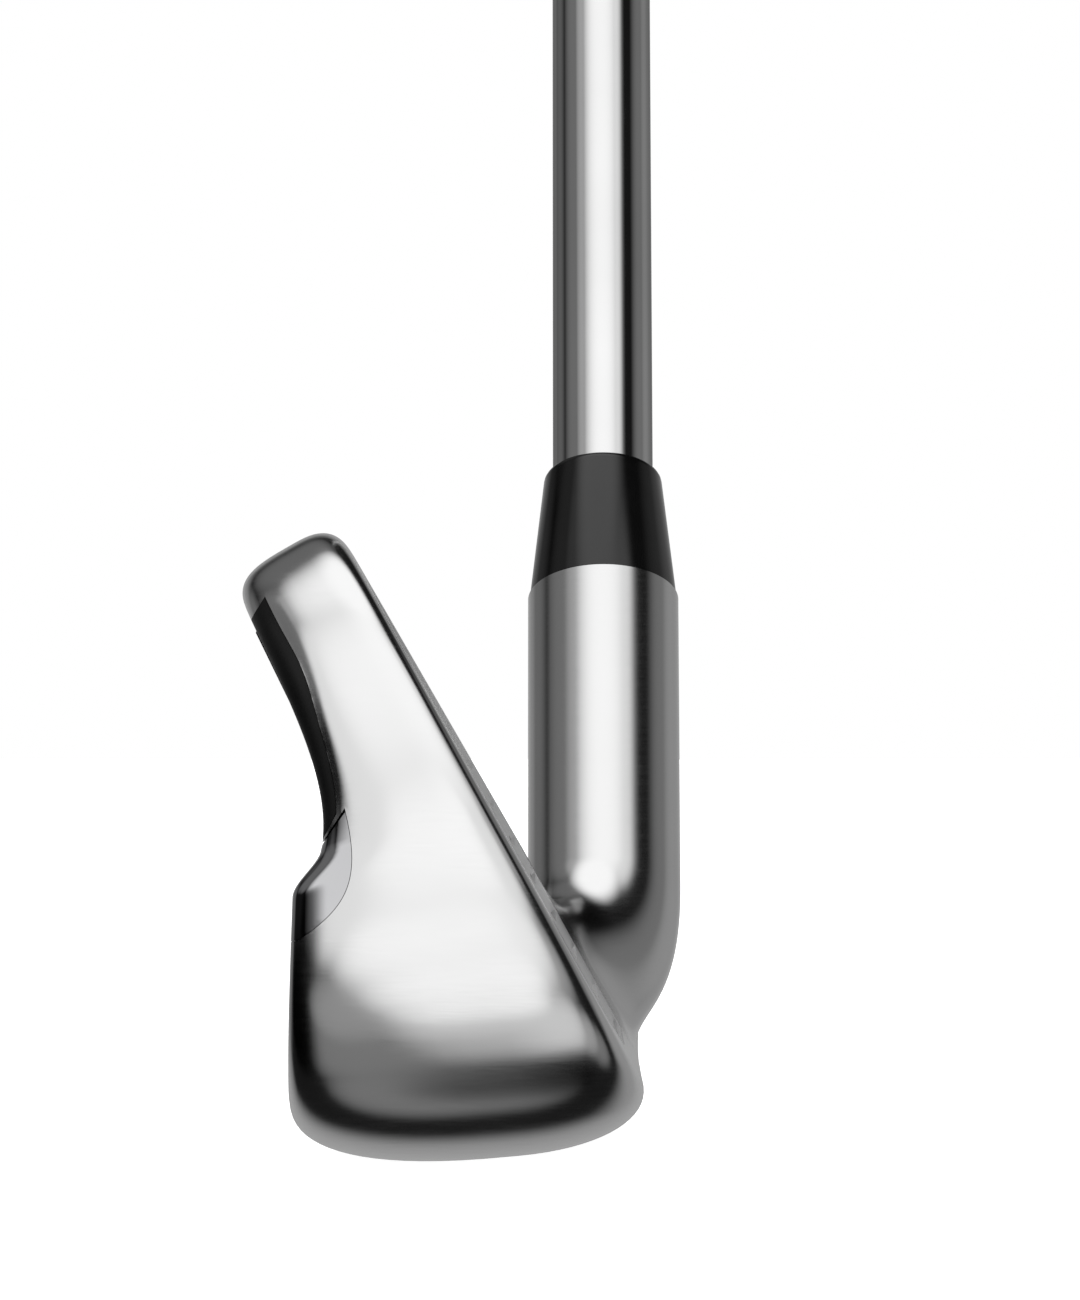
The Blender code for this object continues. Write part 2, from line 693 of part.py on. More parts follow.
def make_badge(form, window):
    black = material("badge_black", (0.012, 0.012, 0.013), 0.0, 0.22)
    carrier = add_part("badge_carrier", form.copy(), club, black)
    boolean(carrier, add_cutter("badge_keep", badge_slab("badge_keep", 0.0, 0.0), club), "INTERSECT")
    seat = plaque_slab("plaque_cut", GAP, PLAQUE_SINK + GAP, PAST_EDGE)
    boolean(carrier, add_cutter("plaque_cut", seat, club))

    silver = material("plaque_silver", (0.45, 0.46, 0.47), 1.0, 0.25)
    plaque = plaque_slab("badge_plaque", 0.0, PLAQUE_SINK, PLAQUE_PROUD)
    add_part("badge_plaque", plaque, club, silver)

    foam = material("tape_foam", (0.06, 0.06, 0.06), 0.0, 0.9)
    pad = slab_mesh("badge_tape", (TAPE_TOE_Y, TAPE_HEEL_Y),
                    (TAPE_LOW, TAPE_HIGH, sunk(lambda h: badge_sink(h) + TAPE_GAP + BADGE_TAPE)),
                    (TAPE_LOW, TAPE_HIGH, sunk(lambda h: badge_sink(h) + TAPE_GAP)))
    tape = add_part("badge_tape", pad, club, foam)
    boolean(tape, window)


def make_trim(form):
    mirror = material("mirror_chrome", (0.70, 0.71, 0.72), 1.0, 0.06)
    trim = add_part("muscle_trim", form.copy(), club, mirror)
    boolean(trim, add_cutter("trim_keep", trim_slab("trim_keep", 0.0), club), "INTERSECT")


def make_inner_pieces():
    rubber = material("damper_elastomer", (0.10, 0.10, 0.11), 0.0, 0.75)
    front = -PLATE_THICKNESS - GAP
    block = plate_mesh("sound_damper", window_outline(DAMPER_MARGIN), front, front - DAMPER_THICKNESS)
    add_part("sound_damper", block, face_frame, rubber)
    tungsten = material("tungsten", (0.30, 0.30, 0.31), 1.0, 0.45)
    slug = rod_mesh("toe_weight", WEIGHT_DIAMETER / 2, front - GAP, front - WEIGHT_LENGTH)
    add_part("toe_weight", slug, face_frame, tungsten)


# Shaft pieces

def shaft_profile():
    """Stepped tube: outer side from the butt down to the tip, then back up the bore."""
    outer = [(SHAFT_BUTT_RADIUS, SHAFT_END)]
    for k in reversed(range(SHAFT_STEPS)):
        station = SHAFT_FIRST_STEP + k * SHAFT_STEP_PITCH
        for level in (k + 1, k):
            radius = mix(SHAFT_TIP_RADIUS, SHAFT_BUTT_RADIUS, level / SHAFT_STEPS)
            outer.append((radius, station + (level - k) * SHAFT_STEP_TAPER))
    outer.append((SHAFT_TIP_RADIUS, TIP_STATION))
    last_step = SHAFT_FIRST_STEP + SHAFT_STEPS * SHAFT_STEP_PITCH
    inner = [(SHAFT_BORE_RADIUS, TIP_STATION), (SHAFT_BORE_RADIUS, SHAFT_FIRST_STEP),
             (SHAFT_BUTT_BORE_RADIUS, last_step), (SHAFT_BUTT_BORE_RADIUS, SHAFT_END)]
    return outer + inner


def make_shaft():
    chrome = material("shaft_chrome", (0.75, 0.76, 0.77), 1.0, 0.07)
    add_turned("shaft", shaft_profile(), chrome)

    resin = material("epoxy_resin", (0.55, 0.50, 0.38), 0.0, 0.4)
    epoxy = tube_profile(EPOXY_INNER, EPOXY_OUTER, TIP_STATION, HOSEL_TOP)
    add_turned("hosel_epoxy", epoxy, resin, HOSEL_SEGMENTS)

    brass = material("weight_brass", (0.62, 0.46, 0.20), 1.0, 0.35)
    stem = SHAFT_BORE_RADIUS - GAP
    flange_top = TIP_STATION - GAP
    flange_low = flange_top - TIP_WEIGHT_FLANGE
    plug = [(0.0, flange_low + TIP_WEIGHT_LENGTH), (stem, flange_low + TIP_WEIGHT_LENGTH),
            (stem, flange_top), (SHAFT_TIP_RADIUS, flange_top), (SHAFT_TIP_RADIUS, flange_low),
            (0.0, flange_low)]
    add_turned("tip_weight", plug, brass)

    gloss = material("ferrule_black", (0.006, 0.006, 0.007), 0.0, 0.12)
    low = HOSEL_TOP + GAP
    high = low + FERRULE_LENGTH
    bore = SHAFT_TIP_RADIUS + SLEEVE_GAP
    ferrule = [(bore, high), (FERRULE_TOP_OD / 2 - FERRULE_ROUND, high),
               (FERRULE_TOP_OD / 2, high - FERRULE_ROUND), (FERRULE_LOW_OD / 2, low), (bore, low)]
    add_turned("ferrule", ferrule, gloss, HOSEL_SEGMENTS)


def grip_profile(inner, high):
    """Tapered sleeve, fuller under the upper hand, with its tread sunk in panels between plain bands."""
    pitch = GRIP_LENGTH / TREAD_PANELS

    def outer(station, sink):
        share = (station - GRIP_MOUTH) / GRIP_LENGTH
        return mix(inner + GRIP_WALL_MOUTH, GRIP_BUTT_OD / 2, share ** GRIP_BELLY) - sink, station

    profile = [(inner, high), outer(high, 0.0)]
    for k in reversed(range(TREAD_PANELS)):
        middle = GRIP_MOUTH + (k + 0.5) * pitch
        reach = (pitch - TREAD_BAND) / 2
        floor = reach - TREAD_SLOPE
        profile += [outer(middle + reach, 0.0), outer(middle + floor, TREAD_SINK),
                    outer(middle, TREAD_SINK), outer(middle - floor, TREAD_SINK),
                    outer(middle - reach, 0.0)]
    return profile + [outer(GRIP_MOUTH, 0.0), (inner, GRIP_MOUTH)]


def make_grip():
    grip_top = CLUB_LENGTH - CAP_THICKNESS - GAP
    tape_inner = SHAFT_BUTT_RADIUS + 2 * SLEEVE_GAP
    tape_outer = tape_inner + GRIP_TAPE_WALL
    woven = material("grip_tape", (0.75, 0.72, 0.62), 0.0, 0.8)
    add_turned("grip_tape", tube_profile(tape_inner, tape_outer, GRIP_MOUTH + GRIP_TAPE_SHORT,
                                         grip_top), woven)

    rubber = material("grip_rubber", (0.02, 0.02, 0.02), 0.0, 0.7)
    add_turned("grip", grip_profile(tape_outer + 2 * SLEEVE_GAP, grip_top), rubber)

    cap_rubber = material("cap_rubber", (0.03, 0.03, 0.03), 0.0, 0.6)
    low = CLUB_LENGTH - CAP_THICKNESS
    edge = GRIP_BUTT_OD / 2
    add_turned("grip_cap", [(VENT_DIAMETER / 2, CLUB_LENGTH), (edge - CAP_ROUND, CLUB_LENGTH),
                            (edge, CLUB_LENGTH - CAP_ROUND), (edge, low), (VENT_DIAMETER / 2, low)],
               cap_rubber)


for old in list(bpy.data.objects):
    bpy.data.objects.remove(old, do_unlink=True)

parts = bpy.data.collections.new("iron_golf_club")
cutters = bpy.data.collections.new("cutters")
bpy.context.scene.collection.children.link(parts)
bpy.context.scene.collection.children.link(cutters)

club = bpy.data.objects.new("club", None)
club.location = -face_point(FACE_CENTRE_Y, FACE_CENTRE_V)
face_frame = bpy.data.objects.new("face_frame", None)
face_frame.parent = club
face_axes = Matrix((ALONG, UP_FACE, OUT_FACE)).transposed().to_4x4()
face_frame.matrix_local = Matrix.Translation(face_point(0.0, 0.0)) @ face_axes
shaft_frame = bpy.data.objects.new("shaft_frame", None)
shaft_frame.parent = club
shaft_frame.rotation_euler = (LIE - pi / 2, 0.0, 0.0)
for frame in (club, face_frame, shaft_frame):
    parts.objects.link(frame)

head_form = head_form_mesh()
window_cut = make_head(head_form)
make_striking_plate()
make_badge(head_form, window_cut)
make_trim(head_form)
make_inner_pieces()
make_shaft()
make_grip()
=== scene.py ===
"""Looks of the iron golf club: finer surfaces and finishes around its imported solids, in metres.

Points on the head are worked out from the ground below the shaft axis, as on the solids: +X towards
the target, +Y from toe to heel, +Z up. The matrix CLUB then moves them to the frame's origin.
"""
from math import cos, exp, log, pi, radians, sin, tan

import bmesh
import bpy
from mathutils import Matrix, Vector
from mathutils.geometry import interpolate_bezier


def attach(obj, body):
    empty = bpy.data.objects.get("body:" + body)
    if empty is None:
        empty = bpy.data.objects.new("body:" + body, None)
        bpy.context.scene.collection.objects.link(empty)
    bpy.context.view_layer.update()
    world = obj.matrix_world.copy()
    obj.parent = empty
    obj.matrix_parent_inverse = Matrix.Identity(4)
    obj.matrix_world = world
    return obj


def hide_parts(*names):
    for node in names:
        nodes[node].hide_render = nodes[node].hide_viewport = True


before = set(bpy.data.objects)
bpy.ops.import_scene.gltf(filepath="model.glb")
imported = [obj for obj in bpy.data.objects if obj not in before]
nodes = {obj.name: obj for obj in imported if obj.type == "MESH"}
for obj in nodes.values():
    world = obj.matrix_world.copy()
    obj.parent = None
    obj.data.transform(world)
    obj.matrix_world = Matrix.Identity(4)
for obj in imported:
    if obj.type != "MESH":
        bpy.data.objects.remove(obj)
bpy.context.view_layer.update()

# Club
CLUB_LENGTH = 0.940
LIE = radians(62.0)
LOFT = radians(28.9)

# Blade outline, in face coordinates: y from toe to heel, v up the face from its lower edge
FACE_GROUND_X = 0.0064
FACE_EDGE_Z = 0.0074
HEEL_Y = -0.008
TOPLINE_END_Y = -0.054
TOPLINE_END_V = 0.0467
TOPLINE_SLOPE = 0.60
TOPLINE_EASE = 0.003
TOE_Y = -0.0705
TOE_WIDEST_V = 0.019
TOE_TOP_PULL = 0.010
TOE_UPPER_PULL = 0.021
TOE_LOWER_PULL = 0.0125
TOE_SOLE_PULL = 0.012
SOLE_END_Y = -0.050

# Back of the blade: depths behind the face and the step above the muscle, as shares of the height
TOPLINE_DEPTH = 0.0097
CAVITY_DEPTH = 0.0140
CAVITY_FADE = 0.14
STEP_LOW = 0.475
STEP_HIGH = 0.552
SOLE_TILT = radians(4.0)
MUSCLE_TOE_X = -0.0264
MUSCLE_HEEL_X = -0.0185
MUSCLE_LEAN = 0.028
MUSCLE_TAPER = 1.5

# Edge wall: bulge, place of its crown, fullness at the front and at the back
TOPLINE_WALL = (0.0038, 0.42, 3.0, 3.5)
TOE_WALL = (0.0026, 0.45, 5.0, 2.6)
SOLE_WALL = (0.0068, 0.41, 2.2, 2.65)

# Hosel and neck
HOSEL_OD = 0.0136
HOSEL_START = 0.0235
HOSEL_LENGTH = 0.0292
BORE_DEPTH = 0.0314
BORE_RADIUS = 0.0050
TOPLINE_SIDE = radians(155.0)
TOPLINE_SPREAD = radians(20.0)
SOLE_SIDE = radians(270.0)
SOLE_SPREAD = radians(30.0)
NECK_PULL_TOP = (0.9, 1.4)
NECK_PULL_SIDE = (0.6, 2.2)
NECK_PULL_SOLE = (1.0, 1.5)

# Striking plate and its score lines. A score line's section is in shares of its width and depth,
# and its ends run out to the face over GROOVE_RUN at toe and heel.
PLATE_RIM = 0.0022
PLATE_THICKNESS = 0.0024
PLATE_HEEL_Y = -0.0150
GROOVE_COUNT = 11
GROOVE_PITCH = 0.0036
GROOVE_WIDTH = 0.0009
GROOVE_DEPTH = 0.0004
GROOVE_SECTION = ((-0.5, 1.0), (-0.5, 0.0), (-0.28, -1.0), (0.28, -1.0), (0.5, 0.0), (0.5, 1.0))
GROOVE_FIRST_V = 0.0035
GROOVE_TOE_Y = -0.0570
GROOVE_HEEL_Y = -0.0180
GROOVE_EDGE = 0.0045
GROOVE_RUN = (0.0025, 0.006)
GROOVE_RUN_SHARE = 0.35
GROOVE_LIFT = 1.05
FACE_CENTRE_Y = -0.0360
FACE_CENTRE_LAND = 4

# Badge on the upper back: heights as shares of the topline's, and depth below the back
BADGE_HEEL_Y = -0.0150
BADGE_OUTER_LOW = 0.548
BADGE_LEAN = 0.067
BADGE_HIGH = 1.035
BADGE_TOP_INNER = 0.015
BADGE_TOP_OUTER = -0.063
BADGE_THIN = 0.00115
BADGE_GROWTH = 0.00175
TOE_FLARE = (0.00042, 0.085)
TOE_FLARE_HEIGHT = 0.895
TOE_FLARE_Y = (-0.0660, -0.0625)

# Tape under the badge and plaque let into it
TAPE_LOW = 0.645
TAPE_HIGH = 0.950
TAPE_TOE_Y = -0.0610
TAPE_HEEL_Y = -0.0200
TAPE_ROOM = 0.0006
PLAQUE_LOW = 0.800
PLAQUE_HIGH = 1.010
PLAQUE_TOE_Y = -0.0590
PLAQUE_HEEL_Y = -0.0230
PLAQUE_SINK = 0.0004
PLAQUE_PROUD = (0.00012, 0.00020)
PLAQUE_BEVEL = 0.00012

# Trim bar on the muscle, with its leaf-shaped section
TRIM_LOW = 0.385
TRIM_EDGE = 0.0007
TRIM_TOP_THICKNESS = 0.0019
TRIM_HEEL_Y = -0.0130
LEAF_TOP_LEAN = radians(14.0)
LEAF_TOP_PULL = 0.54
LEAF_LOW_LEAN = radians(35.0)
LEAF_LOW_PULL = 0.42

# Slabs that cut the form: how far they stand out of the back, at the parting and past the edges,
# how many seams the trim bar stays below the badge, and how many its channel runs on above it
PARTING_EDGE = 0.0005
PAST_EDGE = 0.004
PAST_EASE = 0.5
TRIM_LEDGE = 2.0
CHANNEL_RUN = 4.0

# Seams between the pieces: width of the gap, and depth and width of the rounding beside it,
# which on the badge go from a low to a high value up the blade
SEAM = 0.00005
SEAM_REACH = 0.0060
SEAM_FADE = 0.025
BADGE_ROUND = ((0.00009, 0.00018), (0.00042, 0.00070))
TRIM_ROUND = (0.00005, 0.00016)

# Shaft and ferrule: stations are measured from the ground, up the shaft axis
SHAFT_TIP_OD = 0.0091
SHAFT_BUTT_OD = 0.0152
SHAFT_WALL = 0.0005
SHAFT_TIP_WALL = 0.0010
SHAFT_STEPS = 12
SHAFT_FIRST_STEP = 0.260
SHAFT_STEP_PITCH = 0.031
SHAFT_STEP_TAPER = 0.0016
SHAFT_STEP_SHARES = (1.0, 0.85, 0.65, 0.35, 0.15, 0.0)
TIP_STATION = 0.0229
FERRULE_LENGTH = 0.0125
FERRULE_LOW_OD = 0.0133
FERRULE_TOP_OD = 0.0106
FERRULE_ROUND = 0.0007
FERRULE_SEAT = 0.0001
SLEEVE_GAP = 0.00006

# Grip and its cap: the tread's flanks lie between two values of its waves, and the cap's ring has a
# radius and a depth
GRIP_LENGTH = 0.267
GRIP_MOUTH_OD = 0.0196
GRIP_BUTT_OD = 0.0268
GRIP_BORE_OD = 0.0161
GRIP_BELLY = 1.35
LIP_ROUND = 0.0012
TREAD_PITCH = 0.0046
TREAD_STARTS = 12
TREAD_DEPTH = 0.00035
TREAD_FLANK = (0.55, 0.95)
TREAD_PANELS = 5
TREAD_GAP = 0.006
CAP_THICKNESS = 0.0042
CAP_ROUND = 0.0020
CAP_RING = (0.0075, 0.0006)
VENT_DIAMETER = 0.0024

# Mesh density and shading
COLUMNS = 84
ROWS = 60
ROW_CROWD = 0.6
BAND = 40
NECK_RINGS = 40
EDGE_POINTS = 400
UPPER_CORNER = 0.55
LOWER_CORNER = 0.50
OUTLINE_STEP = 0.0001
SLAB_ROWS = 40
SLAB_COLUMNS = 40
TURN_SEGMENTS = 96
ROUND_STEPS = 5
GRIP_ROWS = 460
GRIP_SEGMENTS = 120
LIP_STEPS = 4
SLOPE_STEP = 0.001
SOLVE_ROUNDS = 14
WELD_DISTANCE = 0.000001
BEVEL_ANGLE = radians(50.0)
SMOOTH_ANGLE = radians(32.0)
FLAT_ANGLE = radians(2.0)

# Finishes: range of a noise's values, direction of brushing, and two painted shades, each a range of
# distances or depths and the factors of the colour at its ends
NOISE_RANGE = (0.3, 0.7)
BRUSH_TURN = (pi / 2 - LIE, 0.0, 0.0)
BRUSHED = (0.04, 0.04, 1.0)
# Painted shade in the crease between topline and neck: its centre, then distances and colour factors
FOLD_SHADE_PLACE = (-0.0024, -0.0006, 0.0189)
FOLD_PAINTED_SHADE = (0.0010, 0.0038, 0.24, 1.0)
# Painted shade down in the score lines: depths below the face and colour factors
GROOVE_PAINTED_SHADE = (-0.00037, -0.00028, 0.06, 1.0)
UNEVEN_GLOSS = 0.15

# Pieces that the others hide: dark and light colour, metallic, roughness
INNER_FINISHES = {
    "badge_tape": ((0.05, 0.05, 0.05), (0.075, 0.075, 0.075), 0.0, 0.85),
    "sound_damper": ((0.08, 0.08, 0.09), (0.12, 0.12, 0.13), 0.0, 0.70),
    "toe_weight": ((0.27, 0.27, 0.28), (0.33, 0.33, 0.34), 1.0, 0.45),
    "hosel_epoxy": ((0.48, 0.43, 0.32), (0.60, 0.55, 0.42), 0.0, 0.40),
    "tip_weight": ((0.56, 0.41, 0.17), (0.66, 0.50, 0.23), 1.0, 0.35),
    "grip_tape": ((0.68, 0.65, 0.55), (0.80, 0.77, 0.67), 0.0, 0.80),
}

# Camera and floor
CAMERA_PLACE = Vector((-0.005724, -0.875447, 0.0420))
CAMERA_LENS = 331.5
CAMERA_SENSOR = 36.0
CAMERA_CLIP = 0.01
FLOOR_HALF = 3.0
FLOOR_DROP = -0.0006
FLOOR_GLOW = 0.92
WHITE = (1.0, 1.0, 1.0, 1.0)

# Softboxes and black cards round the club: azimuth from the camera's side towards the target,
# elevation, size and soft edge in degrees, then strength or share of the light held off
SOFTBOXES = (
    # from the camera's side, level to overhead
    (-30.0, 78.0, 28.0, 12.0, 1.52),
    (-8.0, 25.0, 44.0, 9.0, 1.14),
    (0.0, 42.0, 30.0, 24.0, 1.50),
    (2.0, 8.0, 12.0, 11.0, 1.50),
    (40.0, 52.0, 14.0, 8.0, 1.10),
    (45.0, 31.0, 10.0, 8.0, 0.60),
    # from the camera's side, low
    (29.0, -13.0, 15.0, 13.0, 0.45),
    (7.0, -12.0, 17.0, 17.0, 1.30),
    (-1.0, -13.0, 12.0, 12.0, 1.45),
    (7.0, -27.0, 10.0, 10.0, 1.45),
    (10.0, -37.0, 7.0, 7.0, 1.40),
    (13.0, -46.0, 7.0, 7.0, 0.85),
    (-20.0, -40.0, 14.0, 12.0, 0.40),
    (33.0, -48.0, 14.0, 12.0, 0.90),
    # from the target's side, low
    (62.0, -42.0, 11.0, 9.0, 0.48),
    (85.0, -38.0, 10.0, 9.0, 0.25),
    # from the side away from the target
    (-72.0, 52.0, 11.0, 9.0, 0.55),
    (-72.0, 26.0, 12.0, 9.0, 0.21),
    (-85.0, 38.0, 18.0, 14.0, 0.22),
    # from behind
    (-140.0, 52.0, 20.0, 12.0, 0.18),
    (-155.0, -4.0, 20.0, 12.0, 0.32),
    (-125.0, 2.0, 16.0, 12.0, 0.20),
    (110.0, 13.0, 20.0, 13.0, 0.23),
    (128.0, 1.0, 19.0, 14.0, 0.38),
    (152.0, -8.0, 28.0, 16.0, 0.36),
    (180.0, -8.0, 32.0, 14.0, 0.42),
    (178.0, -16.0, 28.0, 11.0, 0.40),
    # from below
    (0.0, -90.0, 17.0, 8.0, 0.26),
    (-30.0, -62.0, 18.0, 12.0, 0.27),
)
BLACK_CARDS = (
    (-80.0, -32.0, 27.0, 8.0, 1.00),
    (-48.0, -8.0, 16.0, 9.0, 0.85),
    (75.0, -72.0, 12.0, 9.0, 0.85),
)
AMBIENT = 0.012

AXIS = Vector((0.0, cos(LIE), sin(LIE)))
FRONT = Vector((1.0, 0.0, 0.0))
TOEWARD = Vector((0.0, -sin(LIE), cos(LIE)))
ALONG = Vector((0.0, 1.0, 0.0))
UP_FACE = Vector((-sin(LOFT), 0.0, cos(LOFT)))
OUT_FACE = Vector((cos(LOFT), 0.0, sin(LOFT)))
HOSEL_TOP = HOSEL_START + HOSEL_LENGTH
HOSEL_RADIUS = HOSEL_OD / 2
HOSEL_SEGMENTS = 2 * (ROWS + BAND)
BORE_FLOOR = HOSEL_TOP - BORE_DEPTH
BADGE_INNER_LOW = BADGE_OUTER_LOW + BADGE_LEAN
FACE_CENTRE_V = GROOVE_FIRST_V + (FACE_CENTRE_LAND + 0.5) * GROOVE_PITCH
CAP_LOW = CLUB_LENGTH - CAP_THICKNESS
SHAFT_END = CAP_LOW - SLEEVE_GAP
GRIP_MOUTH = CAP_LOW - GRIP_LENGTH


def mix(a, b, share):
    return a + (b - a) * share


def smooth_share(low, high, value):
    share = min(max((value - low) / (high - low), 0.0), 1.0)
    return share * share * (3.0 - 2.0 * share)


# Head form, as on the solids

def face_point(y, v):
    z = FACE_EDGE_Z + v * cos(LOFT)
    return Vector((FACE_GROUND_X - z * tan(LOFT), y, z))


def topline_v(y):
    """Height of the topline up the face. It eases level past its toe end."""
    run = TOPLINE_EASE * log(1.0 + exp((y - TOPLINE_END_Y) / TOPLINE_EASE))
    return TOPLINE_END_V - run * TOPLINE_SLOPE


def muscle_x(y):
    share = min(max((y - SOLE_END_Y) / (HEEL_Y - SOLE_END_Y), 0.0), 1.0)
    return mix(MUSCLE_TOE_X, MUSCLE_HEEL_X, share ** MUSCLE_TAPER)


def back_tilt(height):
    return mix(SOLE_TILT, LOFT, height)


def back_depth(y, height):
    """Depth of the back behind the face, at a share of the topline's height."""
    v = height * topline_v(y)
    muscle = (face_point(y, v).x - muscle_x(y) - MUSCLE_LEAN * v) / cos(back_tilt(height))
    fade = exp(-(max(height, STEP_LOW) - STEP_HIGH) / CAVITY_FADE)
    cavity = mix(TOPLINE_DEPTH, CAVITY_DEPTH, fade)
    return mix(muscle, cavity, smooth_share(STEP_LOW, STEP_HIGH, height))


def back_point(y, height, sink=0.0):
    tilt = back_tilt(height)
    depth = back_depth(y, height) - sink
    return face_point(y, height * topline_v(y)) - depth * Vector((cos(tilt), 0.0, sin(tilt)))


def blade_place(point):
    """Share of the height, and depth below the back, of a point on the blade."""
    v = (point.z - FACE_EDGE_Z) / cos(LOFT)
    for _ in range(SOLVE_ROUNDS):
        height = v / topline_v(point.y)
        behind = face_point(point.y, v).x - point.x
        v = (point.z + behind * tan(back_tilt(height)) - FACE_EDGE_Z) / cos(LOFT)
    return height, back_depth(point.y, height) - behind / cos(back_tilt(height))


def edge_runs():
    """Front edge of the blade as three runs of (y, v, normal y, normal v): topline, toe, sole."""
    heel_top = Vector((HEEL_Y, topline_v(HEEL_Y)))
    top_end = Vector((TOPLINE_END_Y, TOPLINE_END_V))
    widest = Vector((TOE_Y, TOE_WIDEST_V))
    sole_end = Vector((SOLE_END_Y, 0.0))
    heel_low = Vector((HEEL_Y, 0.0))
    run_up = (top_end - heel_top).normalized()
    up = Vector((0.0, 1.0))
    toeward = Vector((-1.0, 0.0))
    topline = [heel_top.lerp(top_end, i / EDGE_POINTS) for i in range(EDGE_POINTS)]
    upper = interpolate_bezier(top_end, top_end + run_up * TOE_TOP_PULL,
                               widest + up * TOE_UPPER_PULL, widest, EDGE_POINTS)
    lower = interpolate_bezier(widest, widest - up * TOE_LOWER_PULL,
                               sole_end + toeward * TOE_SOLE_PULL, sole_end, EDGE_POINTS)
    sole = [sole_end.lerp(heel_low, i / EDGE_POINTS) for i in range(1, EDGE_POINTS + 1)]
    line = topline + upper + lower[1:] + sole
    edge = []
    for i, point in enumerate(line):
        run = line[min(i + 1, len(line) - 1)] - line[max(i - 1, 0)]
        run.normalize()
        edge.append(Vector((point.x, point.y, run.y, -run.x)))
    upper_corner = EDGE_POINTS + round(UPPER_CORNER * EDGE_POINTS)
    lower_corner = 2 * EDGE_POINTS + round(LOWER_CORNER * EDGE_POINTS)
    return (resample(edge[:upper_corner + 1], COLUMNS),
            resample(edge[upper_corner:lower_corner + 1], ROWS, ROW_CROWD),
            resample(edge[lower_corner:], COLUMNS))


def crowded(share, crowd):
    """Share of a run, moved towards its middle so that steps there are shorter."""
    return share + crowd * sin(2.0 * pi * share) / (2.0 * pi)


def resample(line, count, crowd=0.0):
    """Steps along a line, measured on its first two coordinates."""
    stations = [0.0]
    for a, b in zip(line, line[1:]):
        stations.append(stations[-1] + (b.xy - a.xy).length)
    points = []
    i = 0
    for k in range(count + 1):
        target = stations[-1] * crowded(k / count, crowd)
        while i < len(line) - 2 and stations[i + 1] < target:
            i += 1
        share = (target - stations[i]) / (stations[i + 1] - stations[i])
        points.append(line[i].lerp(line[i + 1], share))
    return points


def wall_line(edge_point):
    """Curve across the edge wall, from the face to the back."""
    y, v, normal_y, normal_v = edge_point
    weights = (max(normal_v, 0.0) ** 2, normal_y ** 2, max(-normal_v, 0.0) ** 2)
    shapes = zip(TOPLINE_WALL, TOE_WALL, SOLE_WALL)
    bulge, crown, front, back = [sum(w * s for w, s in zip(weights, shape)) / sum(weights)
                                 for shape in shapes]
    height = v / topline_v(y)
    start = face_point(y, v)
    end = back_point(y, height)
    up_back = back_point(y, height + SLOPE_STEP) - back_point(y, height - SLOPE_STEP)
    up_back.normalize()
    out_start = ALONG * normal_y + UP_FACE * normal_v
    out_end = ALONG * normal_y + up_back * normal_v
    points = [start]
    for k in range(1, BAND):
        across = 2.0 * k / BAND - 1.0
        turn = (1.0 - abs(across)) * pi / 2
        power = 2.0 / (front if across < 0 else back)
        reach = cos(turn) ** power
        share = crown - reach * crown if across < 0 else crown + reach * (1.0 - crown)
        out = out_start.lerp(out_end, share).normalized()
        points.append(start.lerp(end, share) + out * (bulge * sin(turn) ** power))
    return points + [end]


def blade_patches(topline, toe, sole):
    """Face and back grids, row 0 along the topline and column 0 at the toe."""
    top = [p.xy for p in reversed(topline)]
    side = [p.xy for p in toe]
    low = [p.xy for p in sole]
    shares = [crowded(i / ROWS, ROW_CROWD) for i in range(ROWS + 1)]
    heel = [top[-1].lerp(low[-1], down) for down in shares]
    face, back = [], []
    for i, down in enumerate(shares):
        face_row, back_row = [], []
        for j in range(COLUMNS + 1):
            across = j / COLUMNS
            corners = top[0].lerp(low[0], down).lerp(top[-1].lerp(low[-1], down), across)
            y, v = top[j].lerp(low[j], down) + side[i].lerp(heel[i], across) - corners
            face_row.append(face_point(y, v))
            back_row.append(back_point(y, v / topline_v(y)))
        face.append(face_row)
        back.append(back_row)
    return face, back


def hosel_angle(position):
    """Angle round the hosel, from the front, where a position on the heel's ring arrives."""
    ends = (0, ROWS, ROWS + BAND, 2 * ROWS + BAND, 2 * ROWS + 2 * BAND)
    angles = (SOLE_SIDE + SOLE_SPREAD - 2.0 * pi, TOPLINE_SIDE - TOPLINE_SPREAD,
              TOPLINE_SIDE + TOPLINE_SPREAD, SOLE_SIDE - SOLE_SPREAD, SOLE_SIDE + SOLE_SPREAD)
    run = next(i for i in range(len(ends) - 1) if position <= ends[i + 1])
    share = (position - ends[run]) / (ends[run + 1] - ends[run])
    return mix(angles[run], angles[run + 1], share)


def neck_rings(heel_ring, ring_before):
    """Rings from the heel of the blade round to the top of the hosel."""
    rings = [[] for _ in range(NECK_RINGS)]
    hosel_top = []
    for j, (start, before) in enumerate(zip(heel_ring, ring_before)):
        angle = hosel_angle(j)
        around = FRONT * cos(angle) + TOEWARD * sin(angle)
        end = AXIS * HOSEL_START + around * HOSEL_RADIUS
        weights = (max(sin(angle), 0.0) ** 2, cos(angle) ** 2, max(-sin(angle), 0.0) ** 2)
        pulls = [sum(w * p for w, p in zip(weights, pull))
                 for pull in zip(NECK_PULL_TOP, NECK_PULL_SIDE, NECK_PULL_SOLE)]
        reach = (end - start).length / 3.0
        leave = start + (start - before).normalized() * reach * pulls[0]
        arrive = end - AXIS * reach * pulls[1]
        path = interpolate_bezier(start, leave, arrive, end, NECK_RINGS + 1)
        for ring, point in zip(rings, path[1:]):
            ring.append(point)
        hosel_top.append(end + AXIS * HOSEL_LENGTH)
    return rings + [hosel_top]


